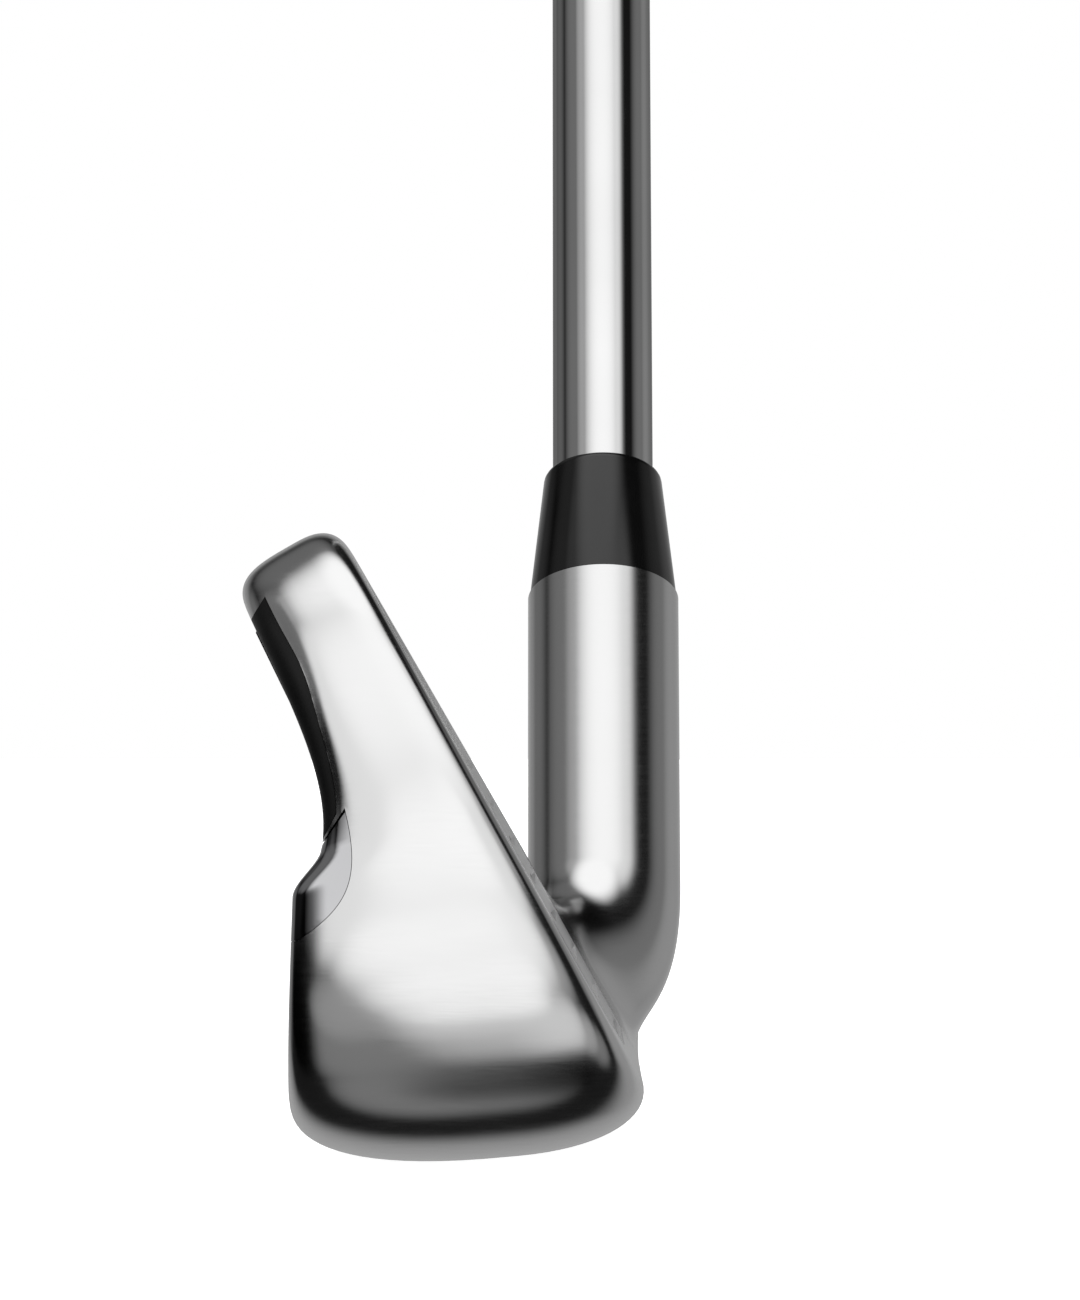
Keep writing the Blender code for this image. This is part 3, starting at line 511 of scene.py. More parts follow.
def head_form_mesh():
    """Closed outer form of the whole head, with its seams' rounded edges, before it is divided."""
    runs = edge_runs()
    face, back = blade_patches(*runs)
    walls = [[wall_line(p) for p in run] for run in runs]

    def heel_ring(column):
        face_up = [row[column] for row in reversed(face)]
        back_down = [row[column] for row in back]
        over_top = walls[0][COLUMNS - column]
        under_sole = list(reversed(walls[2][column]))
        return face_up[:-1] + over_top[:-1] + back_down[:-1] + under_sole[:-1]

    last_ring = heel_ring(COLUMNS)
    neck = [last_ring] + neck_rings(last_ring, heel_ring(COLUMNS - 1))
    neck = [ring + ring[:1] for ring in neck]
    mesh = grid_mesh("head_form", [face, back] + walls + [neck], cap=neck[-1][:-1])
    normals = [vertex.normal.copy() for vertex in mesh.vertices]
    for vertex, normal in zip(mesh.vertices, normals):
        if vertex.co.y < TRIM_HEEL_Y and vertex.co.dot(AXIS) < HOSEL_START:
            vertex.co -= normal * seam_drop(vertex.co)
    mesh.update()
    return mesh


def valley(distance, rounding):
    depth, width = rounding
    return depth * exp(-(distance / width) ** 2)


def seam_drop(point):
    """How far the form dips at a seam, so that the pieces have rounded edges there."""
    height, sink = blade_place(point)
    rise = topline_v(point.y)
    if sink > SEAM_REACH or height < BADGE_OUTER_LOW - SEAM_FADE:
        return 0.0
    parting = badge_parting(sink)
    on_badge = smooth_share(parting - SEAM_FADE, parting + SEAM_FADE, height)
    on_badge *= 1.0 - smooth_share(BADGE_HIGH - SEAM_FADE, BADGE_HIGH, height)
    depth, width = [mix(low, high, smooth_share(BADGE_INNER_LOW, BADGE_HIGH, height))
                    for low, high in BADGE_ROUND]
    drop = on_badge * valley(sink - badge_sink(point.y, height), (depth, width))
    if sink < BADGE_THIN:
        drop = max(drop, valley((height - parting) * rise, TRIM_ROUND))
    return drop


# Mesh and object helpers

def closed_mesh(name, shape):
    """Mesh of a shape that was built face by face, with its faces turned outwards."""
    bmesh.ops.recalc_face_normals(shape, faces=shape.faces)
    mesh = bpy.data.meshes.new(name)
    shape.to_mesh(mesh)
    shape.free()
    return mesh


def grid_mesh(name, grids, cap=None):
    """One closed mesh from grids of points that share their borders."""
    shape = bmesh.new()
    for grid in grids:
        rows = [[shape.verts.new(point) for point in row] for row in grid]
        for upper, lower in zip(rows, rows[1:]):
            for j in range(len(upper) - 1):
                shape.faces.new((upper[j], upper[j + 1], lower[j + 1], lower[j]))
    if cap:
        shape.faces.new([shape.verts.new(point) for point in cap])
    bmesh.ops.remove_doubles(shape, verts=shape.verts, dist=WELD_DISTANCE)
    return closed_mesh(name, shape)


def place(name, mesh, matrix):
    piece = bpy.data.objects.new(name, mesh)
    bpy.context.scene.collection.objects.link(piece)
    piece.matrix_world = matrix
    return piece


def dress(piece, node, finish, sharp=SMOOTH_ANGLE):
    """Give a piece its finish and its place on the frame, where it stands for a node."""
    mesh = piece.data
    mesh.materials.clear()
    mesh.materials.append(finish)
    for polygon in mesh.polygons:
        polygon.material_index = 0
    mesh.shade_smooth()
    mesh.set_sharp_from_angle(angle=sharp)
    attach(piece, "root")
    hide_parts(node)


def keep_result(piece):
    """Keep what a piece's modifiers show as its mesh."""
    bpy.context.view_layer.update()
    shown = piece.evaluated_get(bpy.context.evaluated_depsgraph_get())
    result = bpy.data.meshes.new_from_object(shown)
    piece.modifiers.clear()
    piece.data = result


def carve(piece, cutters, operation="DIFFERENCE"):
    """Cut a piece with meshes that share its place, and keep the result as its mesh."""
    for mesh in cutters:
        cutter = place("cutter", mesh, piece.matrix_world)
        cut = piece.modifiers.new("cut", "BOOLEAN")
        cut.operation = operation
        cut.solver = "MANIFOLD"
        cut.object = cutter
        keep_result(piece)
        bpy.data.objects.remove(cutter)


def soften(piece, width):
    """Bevel the square edges of a piece."""
    edge = piece.modifiers.new("edge", "BEVEL")
    edge.width = width
    edge.limit_method = "ANGLE"
    edge.angle_limit = BEVEL_ANGLE
    keep_result(piece)


# Slabs that follow the blade

def slab_mesh(name, span, inner, outer, grow=(0.0, 0.0, 0.0, 0.0)):
    """Slab that follows the blade, between two surfaces over a span of y.

    Each surface is a low and a high share of the height and a function of y and height for its points.
    A slab that grows moves only its outermost rows and columns: low, high, toe, heel.
    """
    low_grow, high_grow, toe_grow, heel_grow = grow

    def steps(start, end, count, start_grow, end_grow):
        values = [mix(start, end, i / count) for i in range(count + 1)]
        values[0] -= start_grow
        values[-1] += end_grow
        return values

    columns = steps(*span, SLAB_COLUMNS, toe_grow, heel_grow)

    def surface(low, high, point_at):
        heights = steps(low, high, SLAB_ROWS, low_grow / TOPLINE_END_V, high_grow / TOPLINE_END_V)
        return [[point_at(y, height) for y in columns] for height in heights]

    inside = surface(*inner)
    outside = surface(*outer)
    sides = [[inside[0], outside[0]], [inside[-1], outside[-1]]]
    for end in (0, -1):
        sides.append([[row[end] for row in inside], [row[end] for row in outside]])
    return grid_mesh(name, [inside, outside] + sides)


def badge_sink(y, height):
    """Depth of the badge below the back: it grows upwards, and past the tape it flares at the toe."""
    flare = valley(height - TOE_FLARE_HEIGHT, TOE_FLARE) * (1.0 - smooth_share(*TOE_FLARE_Y, y))
    return BADGE_THIN + BADGE_GROWTH * (height - BADGE_INNER_LOW) + flare


def badge_parting(sink):
    """Height of the slanted seam between badge and trim bar, at a depth below the back."""
    share = (sink + PARTING_EDGE) / (BADGE_THIN + PARTING_EDGE)
    return mix(BADGE_OUTER_LOW, BADGE_INNER_LOW, min(max(share, 0.0), 1.0))


def leaf_point(y, share, clearance):
    """Point on the inner side of the trim bar, an arc from its low edge up to the badge."""
    low = back_point(y, TRIM_LOW, TRIM_EDGE)
    high = back_point(y, BADGE_INNER_LOW, TRIM_TOP_THICKNESS)
    span = (high - low).length
    low_pull = Vector((cos(LEAF_LOW_LEAN), 0.0, sin(LEAF_LOW_LEAN))) * span * LEAF_LOW_PULL
    high_pull = Vector((sin(LEAF_TOP_LEAN), 0.0, -cos(LEAF_TOP_LEAN))) * span * LEAF_TOP_PULL
    first = low.lerp(low + low_pull, share)
    middle = (low + low_pull).lerp(high + high_pull, share)
    last = (high + high_pull).lerp(high, share)
    before, after = first.lerp(middle, share), middle.lerp(last, share)
    inward = ALONG.cross(after - before).normalized()
    return before.lerp(after, share) + inward * clearance


def sunk(depth):
    """Points below the back of the blade, by a depth that is a function of y and height."""
    return lambda y, height: back_point(y, height, depth(y, height))


def past_back(start, end):
    """Points outside the back, close to it at the parting's height and further out at the other end."""
    def point_at(y, height):
        share = max((height - start) / (end - start), 0.0) ** PAST_EASE
        return back_point(y, height, -mix(PARTING_EDGE, PAST_EDGE, share))
    return point_at


def badge_slab(name, clearance):
    """Slab of the badge, or of its recess: its top edge leans up towards the face."""
    inner_high, outer_high = BADGE_HIGH + BADGE_TOP_INNER, BADGE_HIGH + BADGE_TOP_OUTER
    return slab_mesh(
        name, (TOE_Y - PAST_EDGE, BADGE_HEEL_Y),
        (BADGE_INNER_LOW, inner_high, sunk(lambda y, h: badge_sink(y, h) + clearance)),
        (BADGE_OUTER_LOW, outer_high, past_back(BADGE_OUTER_LOW, outer_high)),
        (clearance, clearance, 0.0, clearance))


def tape_slab(name):
    """Room for the tape that holds the badge, set in from the badge's edges."""
    heights = (TAPE_LOW, TAPE_HIGH)
    return slab_mesh(name, (TAPE_TOE_Y, TAPE_HEEL_Y),
                     (*heights, sunk(lambda y, h: badge_sink(y, h) + TAPE_ROOM)),
                     (*heights, sunk(lambda y, h: 0.0)), (SEAM,) * 4)


def trim_slab(name, clearance):
    ledge = TRIM_LEDGE * SEAM / TOPLINE_END_V
    inner_high, outer_high = BADGE_INNER_LOW - ledge, BADGE_OUTER_LOW - ledge

    def leaf(y, height):
        return leaf_point(y, (height - TRIM_LOW) / (BADGE_INNER_LOW - TRIM_LOW), clearance)

    return slab_mesh(name, (TOE_Y - PAST_EDGE, TRIM_HEEL_Y), (TRIM_LOW, inner_high, leaf),
                     (TRIM_LOW, outer_high, past_back(outer_high, TRIM_LOW)),
                     (clearance, CHANNEL_RUN * clearance, 0.0, clearance))


def plaque_slab(name, clearance, sink, proud):
    """Slab of the flat plaque, or of its seat: its outer side is straight across the hollow back."""
    heights = (PLAQUE_LOW, PLAQUE_HIGH)

    def chord(y, height):
        share = (height - PLAQUE_LOW) / (PLAQUE_HIGH - PLAQUE_LOW)
        low, high = [back_point(y, end, -out) for end, out in zip(heights, proud)]
        return low.lerp(high, share)

    return slab_mesh(name, (PLAQUE_TOE_Y, PLAQUE_HEEL_Y), (*heights, sunk(lambda y, h: sink)),
                     (*heights, chord), (clearance,) * 4)


# Turned shapes about the shaft axis

def turned_mesh(name, profile, segments, dent=None):
    """Closed mesh from a profile of (radius, station), turned once.

    A dent is a function of radius, station and angle, for how far the surface is sunk there.
    """
    rows = []
    for radius, station in profile:
        row = []
        for k in range(segments + 1):
            angle = 2.0 * pi * (k % segments) / segments
            reach = radius - (dent(radius, station, angle) if dent else 0.0)
            row.append(AXIS * station + (FRONT * cos(angle) + TOEWARD * sin(angle)) * reach)
        rows.append(row)
    return grid_mesh(name, [rows])


def rounded(profile, roundings):
    """Profile with its corners rounded: a corner's rounding is the length cut off each side."""
    points = []
    count = len(profile)
    for i, corner in enumerate(profile):
        size = roundings.get(i, 0.0)
        here = Vector(corner)
        if not size:
            points.append(tuple(here))
            continue
        to_last = (Vector(profile[i - 1]) - here).normalized() * size
        to_next = (Vector(profile[(i + 1) % count]) - here).normalized() * size
        for k in range(ROUND_STEPS + 1):
            share = k / ROUND_STEPS
            bend = (1.0 - share) ** 2 * to_last + share ** 2 * to_next
            points.append(tuple(here + bend))
    return points


# Pieces of the head

def inset_outline(inset, heel_y):
    """Outline of the face set in from its edge and squared off towards the heel."""
    inner = [p.xy - inset * Vector((p.z, p.w)) for run in edge_runs() for p in run]
    kept = [p for p in inner if p.x < heel_y]
    top_v = topline_v(heel_y) - inset * (1.0 + TOPLINE_SLOPE ** 2) ** 0.5
    outline = [Vector((heel_y, top_v))]
    for point in kept + [Vector((heel_y, inset))]:
        if (point - outline[-1]).length > OUTLINE_STEP:
            outline.append(point)
    return outline


def plate_mesh(name, outline, front, back):
    """Flat plate on the face's own axes, between two distances in front of the face."""
    shape = bmesh.new()
    face = shape.faces.new([shape.verts.new((y, v, back)) for y, v in outline])
    pulled = bmesh.ops.extrude_face_region(shape, geom=[face])
    top = [item for item in pulled["geom"] if isinstance(item, bmesh.types.BMVert)]
    bmesh.ops.translate(shape, verts=top, vec=(0.0, 0.0, front - back))
    return closed_mesh(name, shape)


def groove_mesh(name):
    """Cutter for the score lines: troughs with sloping sides that run out at both ends."""
    shape = bmesh.new()
    for k in range(GROOVE_COUNT):
        v = GROOVE_FIRST_V + k * GROOVE_PITCH
        below_top = TOPLINE_END_Y + (TOPLINE_END_V - GROOVE_EDGE - v) / TOPLINE_SLOPE
        heel = min(GROOVE_HEEL_Y, below_top)
        longest_run = GROOVE_RUN_SHARE * (heel - GROOVE_TOE_Y)
        toe_run, heel_run = [min(run, longest_run) for run in GROOVE_RUN]
        stations = ((GROOVE_TOE_Y, GROOVE_LIFT), (GROOVE_TOE_Y + toe_run, 0.0),
                    (heel - heel_run, 0.0), (heel, GROOVE_LIFT))
        rings = [[shape.verts.new((y, v + across * GROOVE_WIDTH, (deep + lift) * GROOVE_DEPTH))
                  for across, deep in GROOVE_SECTION] for y, lift in stations]
        for ring, following in zip(rings, rings[1:]):
            for i in range(len(GROOVE_SECTION)):
                j = (i + 1) % len(GROOVE_SECTION)
                shape.faces.new((ring[i], ring[j], following[j], following[i]))
        shape.faces.new(rings[0])
        shape.faces.new(rings[-1])
    return closed_mesh(name, shape)


def make_body(form):
    """Head casting: the whole form less its bore, recesses, channel and the plate's pocket."""
    body = place("head_casting", form.copy(), CLUB)
    over = HOSEL_TOP + PAST_EDGE
    bore = turned_mesh("bore", [(0.0, over), (BORE_RADIUS, over), (BORE_RADIUS, BORE_FLOOR),
                                (0.0, BORE_FLOOR)], HOSEL_SEGMENTS)
    pocket = plate_mesh("pocket", inset_outline(PLATE_RIM - SEAM, PLATE_HEEL_Y + SEAM),
                        PAST_EDGE, -PLATE_THICKNESS - SEAM)
    pocket.transform(FACE_AXES)
    carve(body, [bore, badge_slab("recess", SEAM), tape_slab("tape_seat"),
                 trim_slab("channel", SEAM), pocket])
    dress(body, "head_body", satin_chrome())


def make_plate():
    outline = inset_outline(PLATE_RIM, PLATE_HEEL_Y)
    plate = place("striking_plate", plate_mesh("plate", outline, 0.0, -PLATE_THICKNESS), CLUB @ FACE_AXES)
    carve(plate, [groove_mesh("grooves")])
    dress(plate, "face_plate", plate_steel(), FLAT_ANGLE)


def make_badge(form):
    """Badge carrier, cut out of the form, and the plaque in its seat."""
    carrier = place("badge_shell", form.copy(), CLUB)
    carve(carrier, [badge_slab("badge", 0.0)], "INTERSECT")
    carve(carrier, [plaque_slab("seat", SEAM, PLAQUE_SINK + SEAM, (PAST_EDGE, PAST_EDGE))])
    dress(carrier, "badge_carrier", badge_black())

    plaque = place("badge_plate", plaque_slab("plaque", 0.0, PLAQUE_SINK, PLAQUE_PROUD), CLUB)
    soften(plaque, PLAQUE_BEVEL)
    dress(plaque, "badge_plaque", plaque_silver())


def make_trim(form):
    trim = place("mirror_bar", form.copy(), CLUB)
    carve(trim, [trim_slab("bar", 0.0)], "INTERSECT")
    dress(trim, "muscle_trim", mirror_chrome())


# Shaft and grip

def shaft_profile():
    """Stepped tube: outer side from the butt down to the tip, then back up the bore."""
    outer = [(SHAFT_BUTT_OD / 2, SHAFT_END)]
    for k in reversed(range(SHAFT_STEPS)):
        station = SHAFT_FIRST_STEP + k * SHAFT_STEP_PITCH
        high = mix(SHAFT_TIP_OD, SHAFT_BUTT_OD, (k + 1) / SHAFT_STEPS) / 2
        low = mix(SHAFT_TIP_OD, SHAFT_BUTT_OD, k / SHAFT_STEPS) / 2
        for share in SHAFT_STEP_SHARES:
            outer.append((mix(low, high, smooth_share(0.0, 1.0, share)),
                          station + share * SHAFT_STEP_TAPER))
    outer.append((SHAFT_TIP_OD / 2, TIP_STATION))
    last_step = SHAFT_FIRST_STEP + SHAFT_STEPS * SHAFT_STEP_PITCH
    tip_bore = SHAFT_TIP_OD / 2 - SHAFT_TIP_WALL
    butt_bore = SHAFT_BUTT_OD / 2 - SHAFT_WALL
    return outer + [(tip_bore, TIP_STATION), (tip_bore, SHAFT_FIRST_STEP), (butt_bore, last_step),
                    (butt_bore, SHAFT_END), outer[0]]


def make_shaft():
    tube = place("shaft_tube", turned_mesh("shaft_tube", shaft_profile(), TURN_SEGMENTS), CLUB)
    dress(tube, "shaft", shaft_chrome())


def make_ferrule():
    low = HOSEL_TOP + FERRULE_SEAT
    high = low + FERRULE_LENGTH
    bore = SHAFT_TIP_OD / 2 + SLEEVE_GAP
    corners = [(bore, high), (FERRULE_TOP_OD / 2, high), (FERRULE_LOW_OD / 2, low), (bore, low)]
    profile = rounded(corners, {1: FERRULE_ROUND, 2: FERRULE_SEAT})
    mesh = turned_mesh("ferrule_collar", profile + profile[:1], HOSEL_SEGMENTS)
    collar = place("ferrule_collar", mesh, CLUB)
    dress(collar, "ferrule", ferrule_black())


def grip_radius(station):
    """Taper of the grip, a little fuller under the upper hand."""
    share = min(max((station - GRIP_MOUTH) / GRIP_LENGTH, 0.0), 1.0)
    return mix(GRIP_MOUTH_OD, GRIP_BUTT_OD, share ** GRIP_BELLY) / 2


def tread(radius, station, angle):
    """Depth of the moulded tread: crossed helical grooves in panels along the grip."""
    if radius < GRIP_BORE_OD / 2 + TREAD_DEPTH:
        return 0.0
    run = (station - GRIP_MOUTH) / GRIP_LENGTH * TREAD_PANELS
    from_middle = abs(run % 1.0 - 0.5) * GRIP_LENGTH / TREAD_PANELS
    half_panel = GRIP_LENGTH / TREAD_PANELS / 2
    panel = 1.0 - smooth_share(half_panel - TREAD_GAP, half_panel - TREAD_GAP / 2, from_middle)
    turn = 2.0 * pi * station / TREAD_PITCH
    waves = (cos(turn + TREAD_STARTS * angle), cos(turn - TREAD_STARTS * angle))
    return TREAD_DEPTH * panel * smooth_share(*TREAD_FLANK, max(waves))


def make_grip():
    bore = GRIP_BORE_OD / 2
    side = [mix(SHAFT_END, GRIP_MOUTH + LIP_ROUND, i / GRIP_ROWS) for i in range(GRIP_ROWS + 1)]
    profile = [(bore, SHAFT_END)] + [(grip_radius(station), station) for station in side]
    for k in range(1, LIP_STEPS + 1):
        turn = pi / 2 * k / LIP_STEPS
        profile.append((grip_radius(GRIP_MOUTH) - LIP_ROUND * (1.0 - cos(turn)),
                        GRIP_MOUTH + LIP_ROUND * (1.0 - sin(turn))))
    profile.append((bore, GRIP_MOUTH))
    mesh = turned_mesh("grip_sleeve", profile + profile[:1], GRIP_SEGMENTS, tread)
    sleeve = place("grip_sleeve", mesh, CLUB)
    dress(sleeve, "grip", grip_rubber())


def make_cap():
    """Butt cap with a rounded rim, a sunk ring and a vent hole."""
    edge = GRIP_BUTT_OD / 2
    vent = VENT_DIAMETER / 2
    ring, depth = CAP_RING
    sunk_top = CLUB_LENGTH - depth
    corners = [(vent, CLUB_LENGTH), (ring - 2 * depth, CLUB_LENGTH), (ring - depth, sunk_top),
               (ring + depth, sunk_top), (ring + 2 * depth, CLUB_LENGTH), (edge, CLUB_LENGTH),
               (edge, CAP_LOW), (vent, CAP_LOW)]
    profile = rounded(corners, {5: CAP_ROUND})
    cap = place("butt_cap", turned_mesh("butt_cap", profile + profile[:1], TURN_SEGMENTS), CLUB)
    dress(cap, "grip_cap", cap_rubber())


# Finishes

def grey(value):
    return value, value, value


def new_finish(name, colour, metallic, roughness):
    made = bpy.data.materials.new(name)
    made.use_nodes = True
    shader = made.node_tree.nodes["Principled BSDF"]
    shader.inputs["Base Color"].default_value = (*colour, 1.0)
    shader.inputs["Metallic"].default_value = metallic
    shader.inputs["Roughness"].default_value = roughness
    return made, made.node_tree, shader


def grain(tree, scale, stretch=(1.0, 1.0, 1.0), detail=3.0, turn=(0.0, 0.0, 0.0)):
    """Noise in the piece's own coordinates, stretched along its axes."""
    where = tree.nodes.new("ShaderNodeTexCoord")
    mapping = tree.nodes.new("ShaderNodeMapping")
    mapping.inputs["Rotation"].default_value = turn
    mapping.inputs["Scale"].default_value = stretch
    noise = tree.nodes.new("ShaderNodeTexNoise")
    noise.inputs["Scale"].default_value = scale
    noise.inputs["Detail"].default_value = detail
    tree.links.new(where.outputs["Object"], mapping.inputs["Vector"])
    tree.links.new(mapping.outputs["Vector"], noise.inputs["Vector"])
    return noise.outputs["Fac"]


def ranged(tree, value, start, end, interpolation="LINEAR"):
    """Value taken from one range of (low, high) to another."""
    laid = tree.nodes.new("ShaderNodeMapRange")
    laid.interpolation_type = interpolation
    laid.inputs["From Min"].default_value, laid.inputs["From Max"].default_value = start
    laid.inputs["To Min"].default_value, laid.inputs["To Max"].default_value = end
    tree.links.new(value, laid.inputs["Value"])
    return laid.outputs["Result"]


def gloss(tree, shader, value, low, high):
    """Roughness that follows a noise between two values."""
    tree.links.new(ranged(tree, value, NOISE_RANGE, (low, high)), shader.inputs["Roughness"])


def tint(tree, shader, value, dark, light):
    """Colour that follows a noise between two colours."""
    ramp = tree.nodes.new("ShaderNodeValToRGB")
    for element, position, colour in zip(ramp.color_ramp.elements, NOISE_RANGE, (dark, light)):
        element.position = position
        element.color = (*colour, 1.0)
    tree.links.new(value, ramp.inputs["Fac"])
    tree.links.new(ramp.outputs["Color"], shader.inputs["Base Color"])


def shade(tree, shader, factor):
    """Scale the colour that a finish has so far, to paint shade into it."""
    scaled = tree.nodes.new("ShaderNodeVectorMath")
    scaled.operation = "SCALE"
    tree.links.new(shader.inputs["Base Color"].links[0].from_socket, scaled.inputs[0])
    tree.links.new(factor, scaled.inputs["Scale"])
    tree.links.new(scaled.outputs["Vector"], shader.inputs["Base Color"])


def emboss(tree, shader, value, strength, distance):
    bump = tree.nodes.new("ShaderNodeBump")
    bump.inputs["Strength"].default_value = strength
    bump.inputs["Distance"].default_value = distance
    tree.links.new(value, bump.inputs["Height"])
    tree.links.new(bump.outputs["Normal"], shader.inputs["Normal"])


def paint_fold_shade(tree, shader):
    """Painted shade: darken the chrome's colour round a place in the fold between topline and neck."""
    where = tree.nodes.new("ShaderNodeTexCoord")
    away = tree.nodes.new("ShaderNodeVectorMath")
    away.operation = "DISTANCE"
    away.inputs[1].default_value = FOLD_SHADE_PLACE
    tree.links.new(where.outputs["Object"], away.inputs[0])
    shade(tree, shader, ranged(tree, away.outputs["Value"], FOLD_PAINTED_SHADE[:2], FOLD_PAINTED_SHADE[2:], "SMOOTHSTEP"))


def paint_groove_shade(tree, shader):
    """Painted shade: darken the plate's colour down in its score lines, by the depth below the face."""
    where = tree.nodes.new("ShaderNodeTexCoord")
    axes = tree.nodes.new("ShaderNodeSeparateXYZ")
    tree.links.new(where.outputs["Object"], axes.inputs["Vector"])
    shade(tree, shader, ranged(tree, axes.outputs["Z"], GROOVE_PAINTED_SHADE[:2], GROOVE_PAINTED_SHADE[2:]))


def satin_chrome():
    made, tree, shader = new_finish("satin_chrome", colour=grey(0.62), metallic=1.0, roughness=0.16)
    lines = grain(tree, scale=9000.0, stretch=BRUSHED, detail=2.0, turn=BRUSH_TURN)
    gloss(tree, shader, lines, low=0.14, high=0.19)
    tint(tree, shader, grain(tree, scale=60.0), dark=grey(0.61), light=grey(0.63))
    # Painted shade in the fold between topline and neck
    paint_fold_shade(tree, shader)
    emboss(tree, shader, lines, strength=0.03, distance=0.00002)
    return made


def plate_steel():
    """Blasted steel, with painted shade down in the score lines."""
    made, tree, shader = new_finish("plate_steel", colour=grey(0.70), metallic=1.0, roughness=0.38)
    blast = grain(tree, scale=5200.0, detail=4.0)
    gloss(tree, shader, blast, low=0.32, high=0.46)
    tint(tree, shader, grain(tree, scale=140.0), dark=grey(0.68), light=grey(0.72))
    # Painted shade down in the score lines
    paint_groove_shade(tree, shader)
    emboss(tree, shader, blast, strength=0.25, distance=0.00004)
    return made


def mirror_chrome():
    made, tree, shader = new_finish("mirror_chrome", colour=(0.50, 0.50, 0.51), metallic=1.0,
                                    roughness=0.05)
    haze = grain(tree, scale=900.0, stretch=(0.2, 1.0, 1.0))
    gloss(tree, shader, haze, low=0.035, high=0.075)
    tint(tree, shader, grain(tree, scale=90.0), dark=(0.48, 0.48, 0.49), light=(0.52, 0.52, 0.53))
    return made


def badge_black():
    made, tree, shader = new_finish("badge_black", colour=grey(0.006), metallic=0.0, roughness=0.45)
    shader.inputs["Specular IOR Level"].default_value = 0.2
    mould = grain(tree, scale=4200.0)
    gloss(tree, shader, mould, low=0.40, high=0.52)
    tint(tree, shader, grain(tree, scale=300.0), dark=grey(0.005), light=grey(0.008))
    emboss(tree, shader, mould, strength=0.12, distance=0.00003)
    return made


def plaque_silver():
    made, tree, shader = new_finish("plaque_silver", colour=(0.30, 0.30, 0.31), metallic=1.0,
                                    roughness=0.26)
    shader.inputs["Specular Tint"].default_value = (*grey(0.2), 1.0)
    lines = grain(tree, scale=7000.0, stretch=(1.0, 0.03, 1.0), detail=2.0)
    gloss(tree, shader, lines, low=0.20, high=0.32)
    tint(tree, shader, lines, dark=(0.28, 0.28, 0.29), light=(0.32, 0.32, 0.33))
    emboss(tree, shader, lines, strength=0.05, distance=0.00002)
    return made


def shaft_chrome():
    made, tree, shader = new_finish("shaft_chrome", colour=grey(0.62), metallic=1.0, roughness=0.07)
    shader.inputs["Specular Tint"].default_value = (*grey(0.45), 1.0)
    haze = grain(tree, scale=700.0, stretch=(1.0, 1.0, 0.2))
    gloss(tree, shader, haze, low=0.055, high=0.09)
    tint(tree, shader, grain(tree, scale=60.0), dark=grey(0.60), light=grey(0.64))
    return made


def ferrule_black():
    made, tree, shader = new_finish("ferrule_black", colour=grey(0.004), metallic=0.0, roughness=0.12)
    turning = grain(tree, scale=9000.0, stretch=BRUSHED, detail=2.0, turn=BRUSH_TURN)
    gloss(tree, shader, turning, low=0.10, high=0.15)
    tint(tree, shader, grain(tree, scale=400.0), dark=grey(0.003), light=grey(0.005))
    emboss(tree, shader, turning, strength=0.05, distance=0.00002)
    return made


def grip_rubber():
    made, tree, shader = new_finish("grip_rubber", colour=grey(0.020), metallic=0.0, roughness=0.65)
    pores = grain(tree, scale=2600.0, detail=5.0)
    gloss(tree, shader, pores, low=0.55, high=0.78)
    tint(tree, shader, grain(tree, scale=220.0), dark=grey(0.016), light=grey(0.026))
    emboss(tree, shader, pores, strength=0.30, distance=0.00008)
    return made


def cap_rubber():
    made, tree, shader = new_finish("cap_rubber", colour=grey(0.028), metallic=0.0, roughness=0.58)
    pores = grain(tree, scale=3000.0, detail=5.0)
    gloss(tree, shader, pores, low=0.48, high=0.68)
    tint(tree, shader, grain(tree, scale=260.0), dark=grey(0.023), light=grey(0.034))
    emboss(tree, shader, pores, strength=0.25, distance=0.00006)
    return made


def inner_finish(name, dark, light, metallic, rough):
    """Finish of a piece that the others hide: a mottled colour with an uneven gloss."""
    made, tree, shader = new_finish(name, light, metallic, rough)
    mottle = grain(tree, scale=800.0)
    gloss(tree, shader, mottle, rough * (1.0 - UNEVEN_GLOSS), min(rough * (1.0 + UNEVEN_GLOSS), 1.0))
    tint(tree, shader, mottle, dark, light)
    return made


def dress_inner_nodes():
    for name, values in INNER_FINISHES.items():
        mesh = nodes[name].data
        mesh.materials.clear()
        mesh.materials.append(inner_finish(name + "_finish", *values))


# Studio

def light_cone(tree, where, azimuth, elevation, size, edge, far, near):
    """Value that goes from far to near across the soft edge of a round patch of the surroundings."""
    turn, rise = radians(azimuth), radians(elevation)
    facing = tree.nodes.new("ShaderNodeVectorMath")
    facing.operation = "DOT_PRODUCT"
    facing.inputs[1].default_value = (sin(turn) * cos(rise), -cos(turn) * cos(rise), sin(rise))
    tree.links.new(where, facing.inputs[0])
    rim = (cos(radians(size + edge)), cos(radians(size - edge)))
    return ranged(tree, facing.outputs["Value"], rim, (far, near), "SMOOTHSTEP")


def combined(tree, operation, first, second):
    joined = tree.nodes.new("ShaderNodeMath")
    joined.operation = operation
    for value, socket in zip((first, second), joined.inputs):
        if isinstance(value, float):
            socket.default_value = value
        else:
            tree.links.new(value, socket)
    return joined.outputs["Value"]


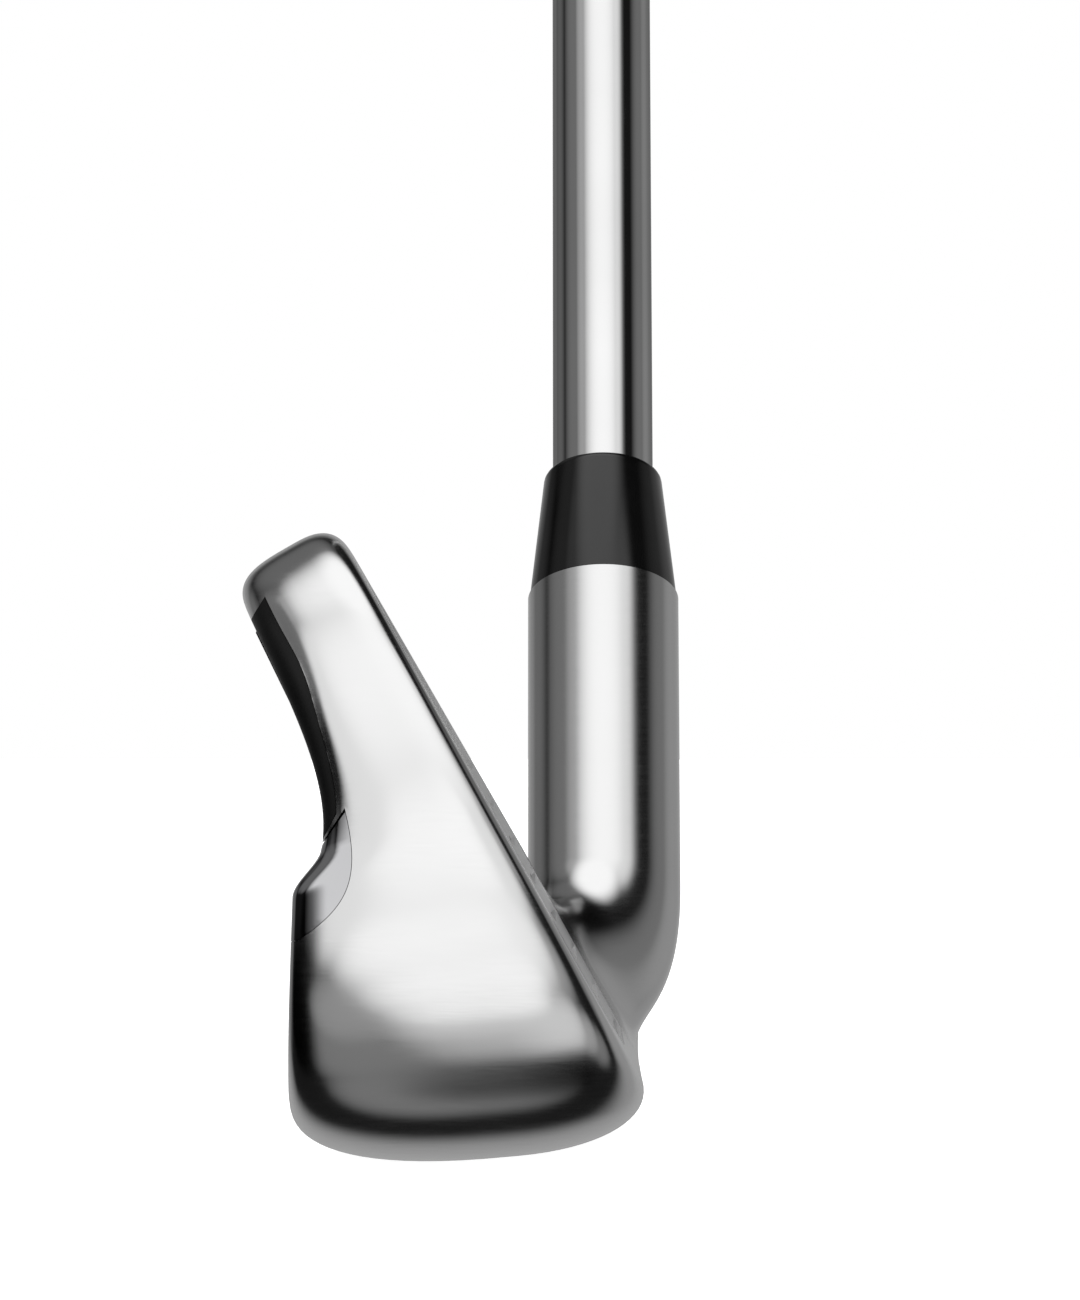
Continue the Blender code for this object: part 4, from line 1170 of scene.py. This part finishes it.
def studio_light():
    """World with softboxes that the chrome reflects, and plain white where the camera looks past."""
    world = bpy.data.worlds.new("studio")
    bpy.context.scene.world = world
    world.use_nodes = True
    tree = world.node_tree
    tree.nodes.clear()
    where = tree.nodes.new("ShaderNodeTexCoord").outputs["Generated"]
    total = AMBIENT
    for *patch, strength in SOFTBOXES:
        total = combined(tree, "MAXIMUM", total, light_cone(tree, where, *patch, 0.0, strength))
    for *patch, held in BLACK_CARDS:
        total = combined(tree, "MULTIPLY", total, light_cone(tree, where, *patch, 1.0, 1.0 - held))
    light = tree.nodes.new("ShaderNodeBackground")
    light.inputs["Color"].default_value = WHITE
    tree.links.new(total, light.inputs["Strength"])
    white = tree.nodes.new("ShaderNodeBackground")
    white.inputs["Color"].default_value = WHITE
    path = tree.nodes.new("ShaderNodeLightPath")
    choose = tree.nodes.new("ShaderNodeMixShader")
    tree.links.new(path.outputs["Is Camera Ray"], choose.inputs["Fac"])
    tree.links.new(light.outputs["Background"], choose.inputs[1])
    tree.links.new(white.outputs["Background"], choose.inputs[2])
    output = tree.nodes.new("ShaderNodeOutputWorld")
    tree.links.new(choose.outputs["Shader"], output.inputs["Surface"])


def make_floor():
    """Pale glowing floor under the sole. It is left out of reflections, shadows and scattered light."""
    mesh = bpy.data.meshes.new("floor")
    shape = bmesh.new()
    bmesh.ops.create_grid(shape, x_segments=1, y_segments=1, size=FLOOR_HALF)
    shape.to_mesh(mesh)
    shape.free()
    floor = place("floor", mesh, CLUB @ Matrix.Translation((0.0, 0.0, FLOOR_DROP)))
    made, _, shader = new_finish("floor_white", colour=grey(0.9), metallic=0.0, roughness=1.0)
    shader.inputs["Specular IOR Level"].default_value = 0.0
    shader.inputs["Emission Color"].default_value = WHITE
    shader.inputs["Emission Strength"].default_value = FLOOR_GLOW
    mesh.materials.append(made)
    floor.visible_glossy = False
    floor.visible_diffuse = False
    floor.visible_shadow = False


def make_camera():
    lens = bpy.data.cameras.new("camera")
    lens.sensor_width = CAMERA_SENSOR
    lens.sensor_fit = "HORIZONTAL"
    lens.lens = CAMERA_LENS
    lens.clip_start = CAMERA_CLIP
    camera = bpy.data.objects.new("camera", lens)
    bpy.context.scene.collection.objects.link(camera)
    camera.matrix_world = CLUB @ Matrix.Translation(CAMERA_PLACE) @ Matrix.Rotation(pi / 2, 4, "X")
    bpy.context.scene.camera = camera


CLUB = Matrix.Translation(-face_point(FACE_CENTRE_Y, FACE_CENTRE_V))
FACE_AXES = (Matrix.Translation(face_point(0.0, 0.0))
             @ Matrix((ALONG, UP_FACE, OUT_FACE)).transposed().to_4x4())

head_form = head_form_mesh()
make_body(head_form)
make_plate()
make_badge(head_form)
make_trim(head_form)
make_shaft()
make_ferrule()
make_grip()
make_cap()
dress_inner_nodes()
studio_light()
make_floor()
make_camera()
bpy.context.scene.view_settings.view_transform = "Standard"
